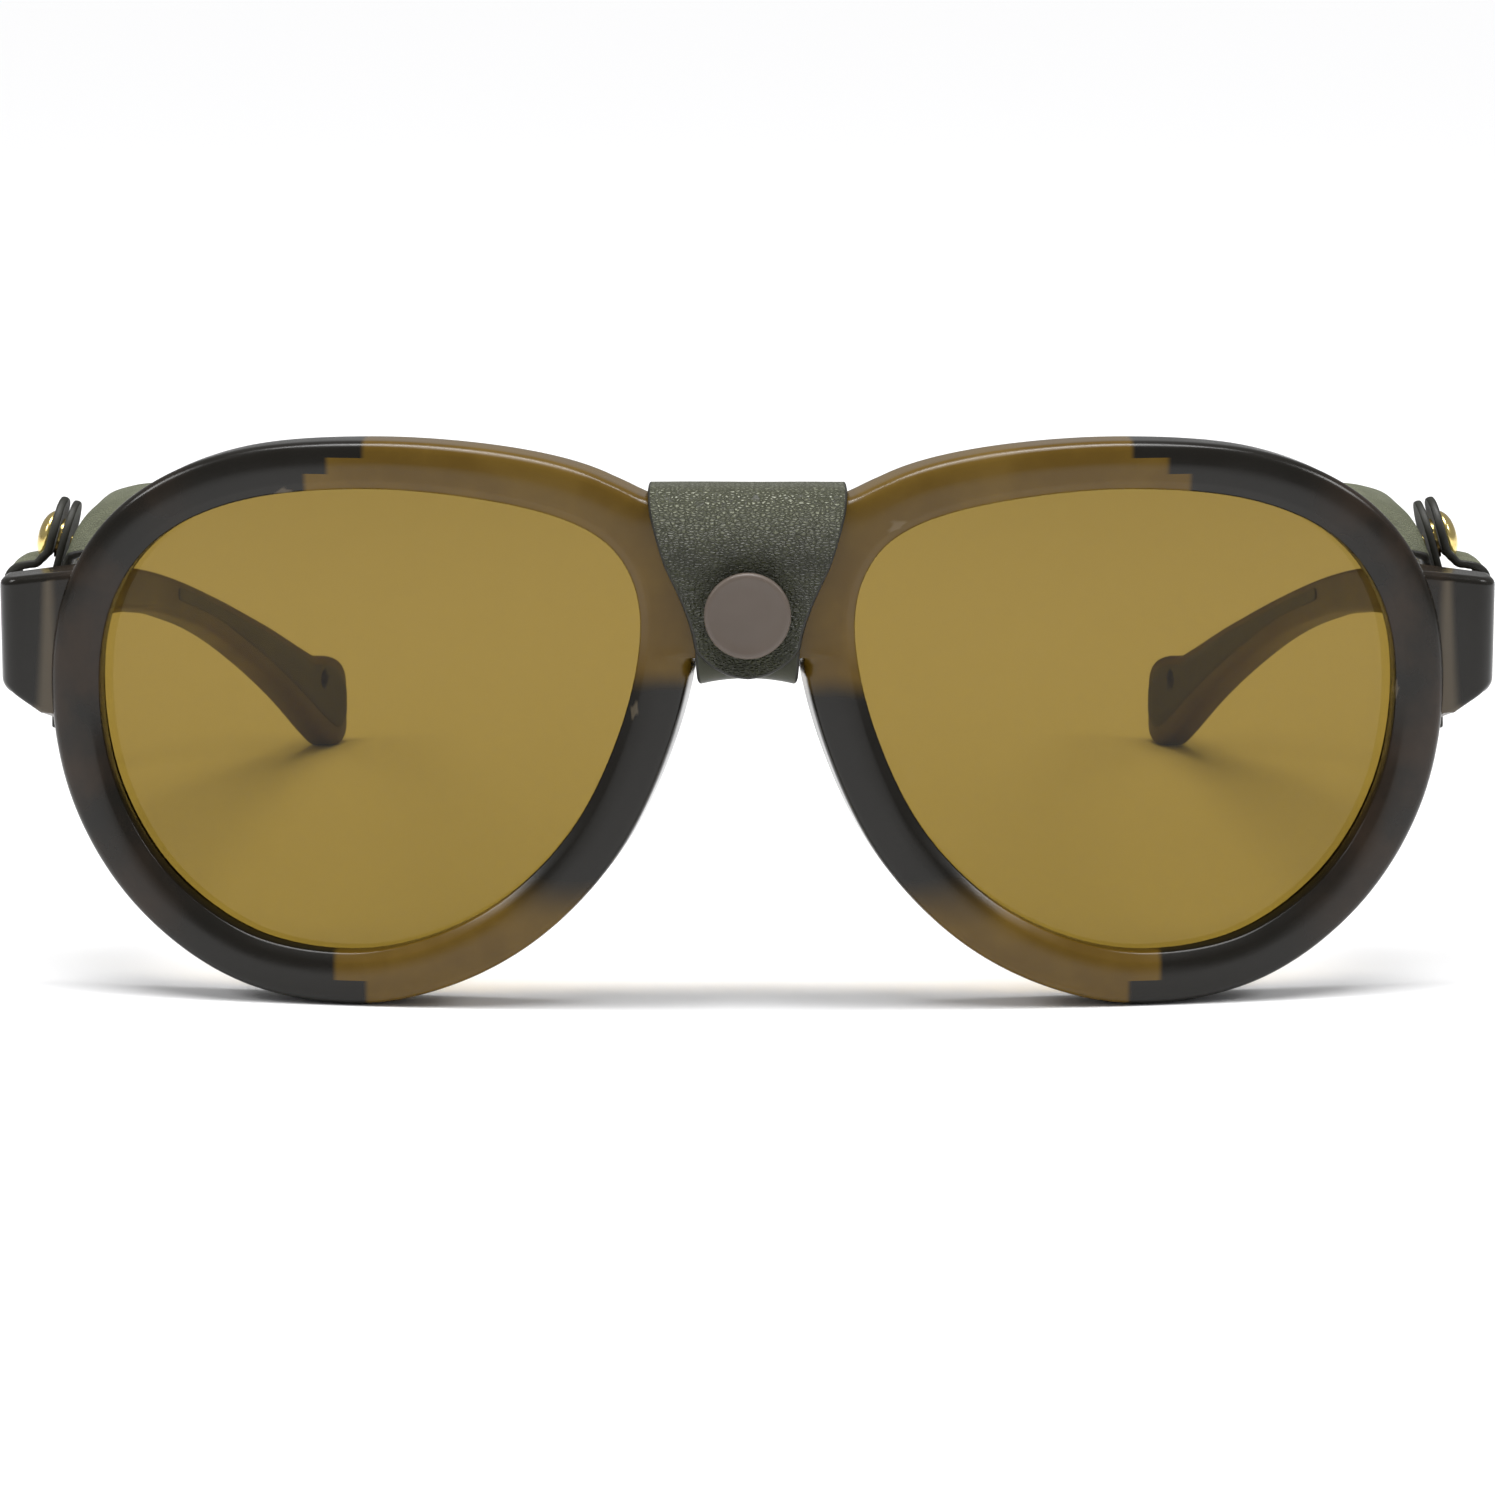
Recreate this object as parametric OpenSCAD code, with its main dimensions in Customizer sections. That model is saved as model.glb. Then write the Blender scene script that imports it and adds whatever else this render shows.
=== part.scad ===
// Glacier glasses: an acetate front with tinted lenses, two folding temples, a
// leather bridge wrap closed by a snap, and leather side shields that hang on the
// temples by snapped straps.
// X runs across the face, +X is the wearer's left. +Y runs back to the ears. The
// glasses stand on their rims and temple tips, with the origin on the ground.

/* [Front] */
// Distance from the middle of the bridge to the middle of each lens
eye_x = 37; // [36.6:0.1:37.4]
// Width of the rim around each lens
rim_w = 5.2; // [5.1:0.1:5.5]
// Depth of the rims, front to back
rim_depth = 6; // [5.8:0.1:6.2]
// Radius of the front's wrap around the face
front_r = 280; // [270:5:290]
// Overall width across the end pieces
overall_w = 147; // [146.6:0.2:148]

/* [Lenses] */
// Thickness of a lens
lens_t = 2; // [1.8:0.1:2.2]
// Depth of a lens's front surface behind the rim's face
lens_recess = 3; // [2.8:0.1:3.2]
// How far a lens's edge sits in the rim's groove
lens_seat = 0.8; // [0.6:0.1:1]

/* [Temples] */
// Distance from the hinge axis back to the end of a temple
temple_len = 135; // [132:1:136]
// Thickness of a temple
temple_t = 3.8; // [3.6:0.1:4]
// How far a temple's tip bows in towards the head
temple_bow = 19; // [17:0.5:19]
// Radius of the retention cord's hole in each tip
cord_hole_r = 1.2; // [1:0.1:1.3]

/* [Hinges] */
// Distance of each hinge axis from the middle
hinge_x = 68; // [67.9:0.1:68.1]
// Radius of a hinge knuckle
knuckle_r = 1.5; // [1.4:0.1:1.5]
// Radius of the screw that joins the knuckles
screw_r = 0.6; // [0.5:0.05:0.65]

/* [Leather] */
// Thickness of the bridge leather
wrap_t = 1.1; // [1:0.05:1.1]
// Thickness of the side shield's panel
panel_t = 1; // [0.8:0.1:1]
// Thickness of the shield's strap, tab and stud patch
strap_t = 0.8; // [0.7:0.05:0.8]
// Width of the shield's strap
strap_w = 8; // [7:0.5:8]

/* [Snaps] */
// Diameter of the flat cap on the bridge
bridge_cap_d = 8.3; // [7.5:0.1:8.4]
// Diameter of the domed caps at the sides
side_cap_d = 5; // [4.6:0.1:5]

/* [Hidden] */
$fn = 64;

// Smooth curves through a few points: each stretch is a cubic that leaves and
// meets its points along the line between their neighbours.
function stretch(a, b, c, d, t) =
    0.5 * (2 * b + (c - a) * t + (2 * a - 5 * b + 4 * c - d) * t * t
        + (3 * b - a - 3 * c + d) * t * t * t);
function smooth_loop(p, steps) =
    let (n = len(p))
    [for (i = [0 : n - 1], k = [0 : steps - 1])
        stretch(p[(i + n - 1) % n], p[i], p[(i + 1) % n], p[(i + 2) % n], k / steps)];
function smooth_path(p, steps) =
    let (n = len(p), q = concat([2 * p[0] - p[1]], p, [2 * p[n - 1] - p[n - 2]]))
    concat(
        [for (i = [0 : n - 2], k = [0 : steps - 1])
            stretch(q[i], q[i + 1], q[i + 2], q[i + 3], k / steps)],
        [p[n - 1]]);
function unit(v) = v / norm(v);
function right_of(v) = [v.y, -v.x];
function backwards(p) = [for (i = [len(p) - 1 : -1 : 0]) p[i]];
// An anticlockwise loop moved outwards along its own normals by d
function pushed_out(p, d) =
    let (n = len(p))
    [for (i = [0 : n - 1]) p[i] + d * right_of(unit(p[(i + 1) % n] - p[(i + n - 1) % n]))];
// An open path moved to its right by d, and the strip between two such moves
function beside(p, d) =
    let (n = len(p))
    [for (i = [0 : n - 1]) p[i] + d * right_of(unit(p[min(i + 1, n - 1)] - p[max(i - 1, 0)]))];
function strip(p, from, to) = concat(beside(p, to), backwards(beside(p, from)));
function mirrored(p) = concat(p, backwards([for (q = p) [-q.x, q.y]]));

// Lens opening, from the nose side anticlockwise: x outwards, z up from its middle
opening = smooth_loop([
    [-26.6, 9.5], [-24.8, 0.5], [-20.4, -9.1], [-13.8, -16.4], [-6, -20.8], [2.5, -22.5],
    [12.2, -20.9], [20.3, -15.2], [25.3, -6.9], [26.9, 2.7], [25.4, 11.4], [20.4, 18],
    [11.6, 21.9], [-0.7, 23.1], [-12.8, 22], [-21.1, 19.6], [-25.3, 15.7]
], 5);
opening_drop = 22.5;
eye_z = opening_drop + rim_w;
eye_turn = asin(eye_x / front_r);
gap = 0.05;

// Depth of the front's face at a distance x from the middle
function face_y(x) = front_r - sqrt(front_r * front_r - x * x);

// The bridge between the rims, and the brows that run into it
bridge_top = 50.1;
bridge_bottom = 34.8;
bridge_half = [
    [0, bridge_bottom], [5.6, bridge_bottom], [8, 30.5], [9, 33], [10, 38], [13, 44],
    [20, 50], [27, 52.2], [25, 54.5], [21.1, 54.1], [18.3, 53.5], [15.4, 52.6],
    [12.6, 51.5], [10.8, 50.6], [9.6, bridge_top], [0, bridge_top]
];

// Depths behind the front plane
hinge_y = 16;
temple_start = hinge_y + 0.15;
tip_y = hinge_y + temple_len;
snap_gap = 0.5;
bridge_snap_gap = 0.6;
bridge_cap_t = 1;
flap_front = 2 * wrap_t + bridge_snap_gap + gap;
depth_middle = (tip_y - flap_front - bridge_cap_t) / 2;

// A temple in plan: its inner face bows in towards the tip
temple_inner = overall_w / 2 - temple_t;
function bow(y) = temple_bow * pow(max(0, y - hinge_y) / temple_len, 2.3);
plan_steps = 24;
function inner_face(y0, y1, inset) =
    [for (i = [0 : plan_steps])
        let (y = y0 + (y1 - y0) * i / plan_steps) [temple_inner - bow(y) + inset, y]];
function temple_band(y0, y1, from, to) =
    concat(inner_face(y0, y1, from), backwards(inner_face(y0, y1, to)));

// A temple from the side, as [y, z]: along the top, round the tip, back underneath
temple_side = smooth_path([
    [temple_start, 40.2], [45, 37], [67, 34.2], [86, 30.4], [105, 25.2], [123, 19.2],
    [135, 14.5], [140, 12.6], [144, 12], [tip_y - 3, 10.5], [tip_y - 0.5, 7.6],
    [tip_y, 4.6], [tip_y - 0.5, 1.6], [tip_y - 2.2, 0.15], [tip_y - 4.5, 0], [143, 2],
    [135, 7.1], [127, 11.5], [118.4, 15.6], [109.7, 19.2], [100.6, 22.3], [90.9, 24.9],
    [80.7, 27.1], [60, 30.1], [38, 31], [temple_start, 31]
], 4);
// The soft inlay in the temple's inner face
grip_side = smooth_loop([
    [89.6, 28.6], [88.5, 28], [89.8, 27], [103.5, 23.1], [114.5, 18.8], [125, 14.1],
    [135, 8.8], [143, 4], [147, 2], [149, 3], [149.4, 6], [147.4, 9], [143, 10.7],
    [139.4, 11.4], [134, 13.7], [122.5, 18.2], [105, 23.9], [96, 26.6]
], 4);
grip_t = 0.9;
cord_hole_y = 142.5;
cord_hole_z = 9.4;
cord_hole_turn = 17;

// Hinge: its knuckles, from the bottom up
knuckle_bottom = 31.2;
knuckle_h = 9;
middle_from = knuckle_bottom + 2.6;
middle_to = knuckle_bottom + knuckle_h - 2.6;
leaf_t = 1;

// The shield's panel from the front, as [x, z]: outer face from the bottom up
lean = 15.7;
foot = [68.9, 40.5];
panel_path = smooth_path([
    [67, 18], [68.6, 24], [69.2, 30], [69.2, 36], [68.75, 40.5], [67.4, 45.3],
    [65.4, 47.4], [62.4, 48.9], [58.6, 49.7]
], 4);
// The panel from the side, as [y, z], with a notch for the hinge
panel_front = 14.6;
panel_side = concat(
    [[panel_front, 17], [panel_front, 25], [21, 29.5], [21, 42.2], [panel_front, 43.4],
        [panel_front, 51]],
    smooth_path([[22, 51], [30, 48.5], [36, 43], [38, 35], [36.4, 27], [31, 20], [23, 17]], 4));
// Centre line of the strap from the front: from the panel, under the temple and up
strap_y = 26;
strap_path = smooth_path([
    [69.6, 24.4], [69.75, 27.2], [70.6, 29.2], [73.2, 29.6], [74.3, 31.4], [74.35, 35],
    [74.35, 37.9]
], 4);
// The tab goes on from the strap's top, over the temple and down to the panel
tab_pivot = [74.35, 38.6];
arch_path = smooth_path([
    tab_pivot, [74.15, 39.7], [73.4, 40.5], [72.2, 40.8], [71.2, 40.5], [70.6, 40.5]
], 4);
// Places in the leaning frame on the panel: out from it, along y, and up it
snap_up = 2.3;
tab_out = strap_t + snap_gap;
tab_up = -0.3;

// The bridge leather, half of its front view as [x, z]
leather_side = smooth_path([
    [9.5, 51.2], [9.3, 49.3], [8.6, 46.8], [7.7, 44.1], [6.6, 41.8], [5.5, 39.2],
    [4.9, 37.1], [4.8, 35.2]
], 3);
fold_y = 0;
fold_z = bridge_top;
bridge_snap_z = 39.5;
flap_end_r = 6;
leather_low = 31;

module placed() translate([0, -depth_middle, 0]) children();

// The same thing on the wearer's right
module on_right() mirror([1, 0, 0]) children();
module both_sides() {
    children();
    on_right() children();
}

// A flat outline in x and z, extruded along y
module along_y(h) rotate([90, 0, 0]) linear_extrude(height = h, center = true) children();
// A flat outline in y and z, extruded along x
module along_x(h)
    rotate([90, 0, 90]) linear_extrude(height = h, center = true) children();

// The frame of one eye: its middle on the front's face, turned with the wrap
module at_eye()
    translate([eye_x, face_y(eye_x), eye_z]) rotate([0, 0, eye_turn]) children();

// The layer between two depths behind the front's curved face
module face_layer(from, to)
    translate([0, front_r, -2]) difference() {
        cylinder(r = front_r - from, h = 62, $fn = 200);
        translate([0, 0, -1]) cylinder(r = front_r - to, h = 64, $fn = 200);
    }

module lens_disc(from, to, margin)
    intersection() {
        face_layer(from, to);
        at_eye() along_y(30) polygon(pushed_out(opening, lens_seat + margin));
    }

// The end piece that carries the hinge, bent back at the outer corner
end_top = 41.4;
end_bottom = 30.2;
corner_r = 2.4;
module end_piece() {
    outer = overall_w / 2;
    intersection() {
        along_y(80) polygon([
            [62, end_top + 1], [66.4, end_top + 0.6], [outer, end_top - 0.4],
            [outer + 1, end_bottom], [outer, end_bottom], [68.6, 26.6], [62, 25]
        ]);
        union() {
            intersection() {
                face_layer(0, rim_depth);
                translate([62, 0, 0]) cube([outer - corner_r - 62, 30, 60]);
            }
            translate([outer - corner_r, face_y(outer) + corner_r, 0])
                cylinder(r = corner_r, h = 60);
            translate([64.4, face_y(outer) + corner_r, 0])
                cube([outer - 64.4, hinge_y - face_y(outer) - corner_r, 60]);
        }
    }
}

// A hinge knuckle or its clearance
module knuckle(r, z0, z1)
    translate([hinge_x, hinge_y, z0]) cylinder(r = r, h = z1 - z0);

// The front leaf's plate, sunk into the back of the end piece
module front_leaf_plate(margin)
    translate([hinge_x - 0.4, hinge_y - leaf_t - margin, knuckle_bottom + 0.4 - margin])
        cube([4.6 + margin, leaf_t + 2 * margin, knuckle_h - 0.8 + 2 * margin]);

module nose_pad_outline()
    translate([8.8, 27]) rotate(18) union() {
        square([3.4, 7], center = true);
        translate([0, 3.5]) circle(d = 3.4);
        translate([0, -3.5]) circle(d = 3.4);
    }
pad_back = 4.6;
pad_peg_r = 0.8;
pad_peg_l = 2;
module nose_pad_pegs(r)
    for (at = [[7.9, 29.6], [9.7, 24.4]])
        translate([at.x, face_y(at.x) + rim_depth + 1, at.y])
            rotate([90, 0, 0]) cylinder(r = r, h = pad_peg_l + 1, $fn = 32);

module frame_front()
    color("#5d4a22") placed() difference() {
        union() {
            intersection() {
                face_layer(0, rim_depth);
                union() {
                    both_sides() at_eye() along_y(30) polygon(pushed_out(opening, rim_w));
                    along_y(30) polygon(mirrored(bridge_half));
                }
            }
            both_sides() end_piece();
        }
        both_sides() at_eye() along_y(60) polygon(opening);
        both_sides() lens_disc(lens_recess - gap, lens_recess + lens_t + gap, gap);
        both_sides() knuckle(knuckle_r + 0.3, knuckle_bottom - 0.2, knuckle_bottom + knuckle_h + 0.9);
        both_sides() front_leaf_plate(gap);
        both_sides() nose_pad_pegs(pad_peg_r + gap);
        translate([0, fold_y, fold_z]) rotate([0, 90, 0])
            cylinder(r = wrap_t + 0.15, h = 20, center = true);
        translate([0, 0.5, bridge_snap_z]) rotate([90, 0, 0]) cylinder(r = 3.1, h = 3);
    }

module lens()
    color("#9a8444") placed() lens_disc(lens_recess, lens_recess + lens_t, 0);

module nose_pad()
    color("#2c2a26") placed() {
        intersection() {
            face_layer(rim_depth + gap, rim_depth + pad_back);
            along_y(60) nose_pad_outline();
        }
        intersection() {
            face_layer(rim_depth - pad_peg_l, rim_depth + 0.5);
            nose_pad_pegs(pad_peg_r);
        }
    }

// The temple's bar between two insets from its inner face
module temple_bar(outline, from, to)
    intersection() {
        translate([60, 0, 0]) along_x(60) polygon(outline);
        linear_extrude(height = 60)
            polygon(temple_band(temple_start - 0.1, tip_y + 1, from, to));
    }

module cord_hole()
    translate([temple_inner - bow(cord_hole_y), cord_hole_y, cord_hole_z])
        rotate([0, 0, cord_hole_turn]) rotate([0, 90, 0])
            cylinder(r = cord_hole_r, h = 16, center = true);

// The temple leaf: a plate sunk into the temple's inner face
leaf_y = [hinge_y + 0.4, 30];
module temple_leaf_plate(margin)
    translate([temple_inner - 0.15, leaf_y[0] - margin, middle_from - 1 - margin])
        cube([leaf_t + margin, leaf_y[1] - leaf_y[0] + 2 * margin,
            middle_to - middle_from + 2 + 2 * margin]);

module temple()
    color("#4a3b28") placed() difference() {
        temple_bar(temple_side, 0, temple_t);
        temple_bar(pushed_out(grip_side, gap), -1, grip_t + gap);
        knuckle(knuckle_r + 0.3, 20, 50);
        temple_leaf_plate(gap);
        cord_hole();
    }

module temple_grip()
    color("#43382a") placed() difference() {
        temple_bar(grip_side, 0, grip_t);
        cord_hole();
    }

module hinge_front_leaf()
    color("#b9b4a8") placed() difference() {
        union() {
            front_leaf_plate(0);
            knuckle(knuckle_r, knuckle_bottom, middle_from - gap);
            knuckle(knuckle_r, middle_to + gap, knuckle_bottom + knuckle_h);
        }
        knuckle(knuckle_r + 0.2, middle_from - gap, middle_to + gap);
        knuckle(screw_r + gap, knuckle_bottom - 1, knuckle_bottom + knuckle_h + 1);
    }

module hinge_temple_leaf()
    color("#b9b4a8") placed() difference() {
        union() {
            temple_leaf_plate(0);
            knuckle(knuckle_r, middle_from, middle_to);
            translate([hinge_x + 0.4, leaf_y[0], middle_from])
                cube([temple_inner - hinge_x, 1, middle_to - middle_from]);
        }
        knuckle(screw_r + gap, knuckle_bottom - 1, knuckle_bottom + knuckle_h + 1);
    }

screw_head_t = 0.7;
module hinge_screw()
    color("#8f8b82") placed() difference() {
        union() {
            knuckle(screw_r, knuckle_bottom + 0.1, knuckle_bottom + knuckle_h + 0.1);
            knuckle(1.15, knuckle_bottom + knuckle_h, knuckle_bottom + knuckle_h + screw_head_t);
        }
        translate([hinge_x, hinge_y, knuckle_bottom + knuckle_h + screw_head_t])
            cube([3, 0.3, 0.6], center = true);
    }

// Front view of the bridge leather
module leather_outline()
    polygon(mirrored(concat([[0, 51.4], [9.5, 51.4]], leather_side,
        [[4.8, leather_low], [0, leather_low]])));

module bridge_cover()
    color("#3a4232") placed() difference() {
        intersection() {
            along_y(40) leather_outline();
            translate([-15, -wrap_t - gap, bridge_bottom - wrap_t - gap])
                cube([30, rim_depth + 2 * wrap_t + 0.3, bridge_top + 2 * wrap_t + 2 * gap - bridge_bottom]);
        }
        translate([-15, -gap, bridge_bottom - gap])
            cube([30, rim_depth + 0.3, bridge_top - bridge_bottom + 2 * gap]);
        translate([-15, -5, bridge_top - 4.9]) cube([30, 6.2, 10]);
        translate([0, 0, bridge_snap_z]) rotate([90, 0, 0]) cylinder(r = 0.8, h = 5);
        intersection() {
            face_layer(-gap, rim_depth + gap);
            both_sides() at_eye() along_y(30) polygon(pushed_out(opening, rim_w + gap));
        }
    }

// The flap from the side: it leans out from the fold, then hangs straight
module flap_side()
    union() {
        translate([fold_y, fold_z]) circle(r = wrap_t);
        polygon([
            [fold_y - wrap_t, fold_z], [-flap_front, bridge_snap_z + 3.6],
            [-flap_front, leather_low], [wrap_t - flap_front, leather_low],
            [wrap_t - flap_front, bridge_snap_z + 3.6],
            [fold_y, fold_z]
        ]);
    }

module bridge_flap()
    color("#414a38") placed() difference() {
        intersection() {
            along_x(30) flap_side();
            along_y(40) intersection() {
                leather_outline();
                union() {
                    translate([0, bridge_snap_z]) circle(r = flap_end_r);
                    translate([-15, bridge_snap_z]) square([30, 15]);
                }
            }
        }
        translate([0, 0, bridge_snap_z]) rotate([90, 0, 0]) cylinder(r = 1.95, h = 6);
    }

// The four pieces of a snap, on +z, from the stud side's leather at z = 0
module snap_cap(r, under, t, domed)
    translate([0, 0, under]) union() {
        if (domed)
            intersection() {
                translate([0, 0, t - 2.6 * t]) sphere(r = 2.6 * t);
                cylinder(r = r, h = t);
            }
        else
            union() {
                cylinder(r = r, h = t - 0.3);
                translate([0, 0, t - 0.3]) cylinder(r1 = r, r2 = r - 0.3, h = 0.3);
            }
        translate([0, 0, -0.4]) cylinder(r = 0.5, h = 0.5, $fn = 32);
    }
module snap_socket(nose_r, ring_r, from, to, through)
    difference() {
        union() {
            translate([0, 0, from]) cylinder(r = ring_r, h = to - from);
            translate([0, 0, from]) cylinder(r = nose_r + 0.25, h = through - from);
        }
        cylinder(r = nose_r + gap, h = 5);
    }
module snap_stud(nose_r, ring_r, h)
    difference() {
        union() {
            cylinder(r = ring_r, h = 0.2);
            cylinder(r = nose_r - 0.15, h = h);
            translate([0, 0, h - 0.35]) cylinder(r = nose_r, h = 0.2);
        }
        translate([0, 0, -1]) cylinder(r = 0.62, h = 1.2, $fn = 32);
    }
module snap_post(flange_r, depth)
    translate([0, 0, -depth]) union() {
        translate([0, 0, -0.35]) cylinder(r = flange_r, h = 0.35);
        cylinder(r = 0.6, h = depth + 0.18, $fn = 32);
    }

// The bridge snap's frame: its axis points forwards out of the leather
module at_bridge_snap()
    translate([0, -wrap_t - gap, bridge_snap_z]) rotate([90, 0, 0]) children();
bridge_nose_r = 1.6;
bridge_ring_r = 3;
module bridge_snap_cap()
    color("#6b5f58") placed() at_bridge_snap()
        snap_cap(bridge_cap_d / 2, bridge_snap_gap + wrap_t, bridge_cap_t, false);
module bridge_snap_socket()
    color("#8f8b82") placed() at_bridge_snap()
        snap_socket(bridge_nose_r, bridge_ring_r, 0.25, bridge_snap_gap, 1.2);
module bridge_snap_stud()
    color("#8f8b82") placed() at_bridge_snap()
        snap_stud(bridge_nose_r, bridge_ring_r - 0.4, 1);
module bridge_snap_post()
    color("#8f8b82") placed() at_bridge_snap() snap_post(2.8, wrap_t);

module side_shield()
    color("#7d8068") placed() difference() {
        intersection() {
            translate([0, strap_y, 0]) along_y(60) polygon(strip(panel_path, -panel_t, 0));
            translate([60, 0, 0]) along_x(60) polygon(panel_side);
        }
        on_panel() translate([-2, 0, snap_up]) rotate([0, 90, 0]) cylinder(r = 0.7, h = 4);
    }

module shield_strap()
    color("#3a4232") placed()
        translate([0, strap_y, 0]) along_y(strap_w) polygon(strip(strap_path, -strap_t / 2, strap_t / 2));

// The leaning frame on the panel's outer face: x out, y back, z up
module on_panel()
    translate([foot.x, strap_y, foot.y]) rotate([0, -lean, 0]) children();
// A tab of the strap's width with a round end, from a level upwards
module tab_outline(from)
    union() {
        translate([-strap_w / 2, from]) square([strap_w, snap_up - from]);
        translate([0, snap_up]) circle(d = strap_w);
    }
module tab_plate(from, out, t)
    translate([out, 0, 0]) rotate([90, 0, 90]) linear_extrude(height = t) tab_outline(from);

module shield_tab()
    color("#3a4232") placed() difference() {
        union() {
            on_panel() tab_plate(tab_up, tab_out, strap_t);
            translate([0, strap_y, 0]) along_y(strap_w)
                polygon(strip(arch_path, -strap_t / 2, strap_t / 2));
            translate([tab_pivot.x, strap_y, tab_pivot.y]) rotate([90, 0, 0])
                cylinder(d = strap_t, h = strap_w, center = true, $fn = 32);
        }
        on_panel() translate([0, 0, snap_up]) rotate([0, 90, 0]) cylinder(r = 1.5, h = 2.6);
    }

// The stud patch ends level with the panel's bend, clear of the temple's top
patch_low = -0.1;
module stud_patch()
    color("#23241f") placed() on_panel() difference() {
        tab_plate(patch_low, gap, strap_t - gap);
        translate([-1, 0, snap_up]) rotate([0, 90, 0]) cylinder(r = 0.7, h = 4);
        translate([-1, -strap_w, patch_low - strap_w]) cube([3, 2 * strap_w, strap_w]);
    }

side_nose_r = 1.15;
module at_side_snap() on_panel() translate([strap_t, 0, snap_up]) rotate([0, 90, 0]) children();
module side_snap_cap()
    color("#c9a24a") placed() at_side_snap()
        snap_cap(side_cap_d / 2, snap_gap + strap_t, 1.3, true);
module side_snap_socket()
    color("#c9a24a") placed() at_side_snap()
        snap_socket(side_nose_r, 2, 0.25, snap_gap, 0.9);
module side_snap_stud()
    color("#c9a24a") placed() at_side_snap() snap_stud(side_nose_r, 1.8, 0.8);
module side_snap_post()
    color("#c9a24a") placed() at_side_snap() snap_post(2, strap_t + panel_t + 0.15);

frame_front();
lens();  // left_lens
on_right() lens();  // right_lens
nose_pad();  // left_nose_pad
on_right() nose_pad();  // right_nose_pad
temple();  // left_temple
on_right() temple();  // right_temple
temple_grip();  // left_temple_grip
on_right() temple_grip();  // right_temple_grip
hinge_front_leaf();  // left_hinge_front_leaf
on_right() hinge_front_leaf();  // right_hinge_front_leaf
hinge_temple_leaf();  // left_hinge_temple_leaf
on_right() hinge_temple_leaf();  // right_hinge_temple_leaf
hinge_screw();  // left_hinge_screw
on_right() hinge_screw();  // right_hinge_screw
bridge_cover();
bridge_flap();
bridge_snap_cap();
bridge_snap_socket();
bridge_snap_stud();
bridge_snap_post();
side_shield();  // left_side_shield
on_right() side_shield();  // right_side_shield
shield_strap();  // left_shield_strap
on_right() shield_strap();  // right_shield_strap
shield_tab();  // left_shield_tab
on_right() shield_tab();  // right_shield_tab
stud_patch();  // left_stud_patch
on_right() stud_patch();  // right_stud_patch
side_snap_cap();  // left_snap_cap
on_right() side_snap_cap();  // right_snap_cap
side_snap_socket();  // left_snap_socket
on_right() side_snap_socket();  // right_snap_socket
side_snap_stud();  // left_snap_stud
on_right() side_snap_stud();  // right_snap_stud
side_snap_post();  // left_snap_post
on_right() side_snap_post();  // right_snap_post
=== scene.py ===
import math

import bmesh
import bpy
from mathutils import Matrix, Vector, noise


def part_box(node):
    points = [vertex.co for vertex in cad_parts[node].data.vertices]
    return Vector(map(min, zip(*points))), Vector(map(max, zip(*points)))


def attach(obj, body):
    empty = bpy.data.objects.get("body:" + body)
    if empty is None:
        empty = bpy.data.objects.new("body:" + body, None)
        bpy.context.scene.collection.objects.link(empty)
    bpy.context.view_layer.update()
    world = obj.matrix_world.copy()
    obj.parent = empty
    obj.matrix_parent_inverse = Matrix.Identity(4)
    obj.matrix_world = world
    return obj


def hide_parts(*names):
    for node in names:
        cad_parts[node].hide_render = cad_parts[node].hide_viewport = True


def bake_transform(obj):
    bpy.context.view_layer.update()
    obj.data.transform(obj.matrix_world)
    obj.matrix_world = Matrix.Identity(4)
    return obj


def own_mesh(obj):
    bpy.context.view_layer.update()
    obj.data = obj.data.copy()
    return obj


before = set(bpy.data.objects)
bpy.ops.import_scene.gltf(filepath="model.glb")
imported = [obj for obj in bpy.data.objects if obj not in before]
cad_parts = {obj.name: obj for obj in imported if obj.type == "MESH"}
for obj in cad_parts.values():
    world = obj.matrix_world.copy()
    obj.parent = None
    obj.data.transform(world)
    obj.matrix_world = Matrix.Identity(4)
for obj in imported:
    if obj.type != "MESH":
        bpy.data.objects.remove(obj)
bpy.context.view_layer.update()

# ---------------------------------------------------------------------------
# The front: one injection-moulded piece in stained matt acetate. Two rims with
# rolled outer edges and a fine bevel round each opening meet at the bridge.
# Below, x runs outwards from the nose, y back from the front and z up, in mm.
mm = 0.001
front_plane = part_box("frame_front")[0].y
wrap_r = 280
eye_x, eye_z = 37, 27.7
eye_turn = math.asin(eye_x / wrap_r)
sides = {"left": 1, "right": -1}

# Each lens opening from its middle, with the width of the rim outside it
opening_points = [
    (-26.6, 9.5, 5.17), (-24.8, 0.5, 5.09), (-20.4, -9.1, 5.1), (-13.8, -16.4, 5.15),
    (-6, -20.8, 5.2), (2.5, -22.5, 5.17), (12.2, -20.9, 4.9), (20.3, -15.2, 4.8),
    (25.3, -6.9, 4.94), (26.9, 2.7, 5.01), (25.4, 11.4, 4.98), (20.4, 18, 4.82),
    (11.6, 21.9, 4.82), (-0.7, 23.1, 4.69), (-12.8, 22, 4.97), (-21.1, 19.6, 5.2),
    (-25.3, 15.7, 5.2)]
bridge_points = [
    (0, 34.8), (5.6, 34.8), (8, 30.5), (9, 33), (10, 38), (13, 44), (20, 50), (27, 52.2),
    (25, 54.5), (21.1, 54.1), (18.3, 53.5), (15.4, 52.6), (12.6, 51.5), (10.8, 50.6),
    (9.6, 50.1), (0, 50.1)]


def spot(x, y, z):
    return Vector((x * mm, front_plane + y * mm, z * mm))


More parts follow.
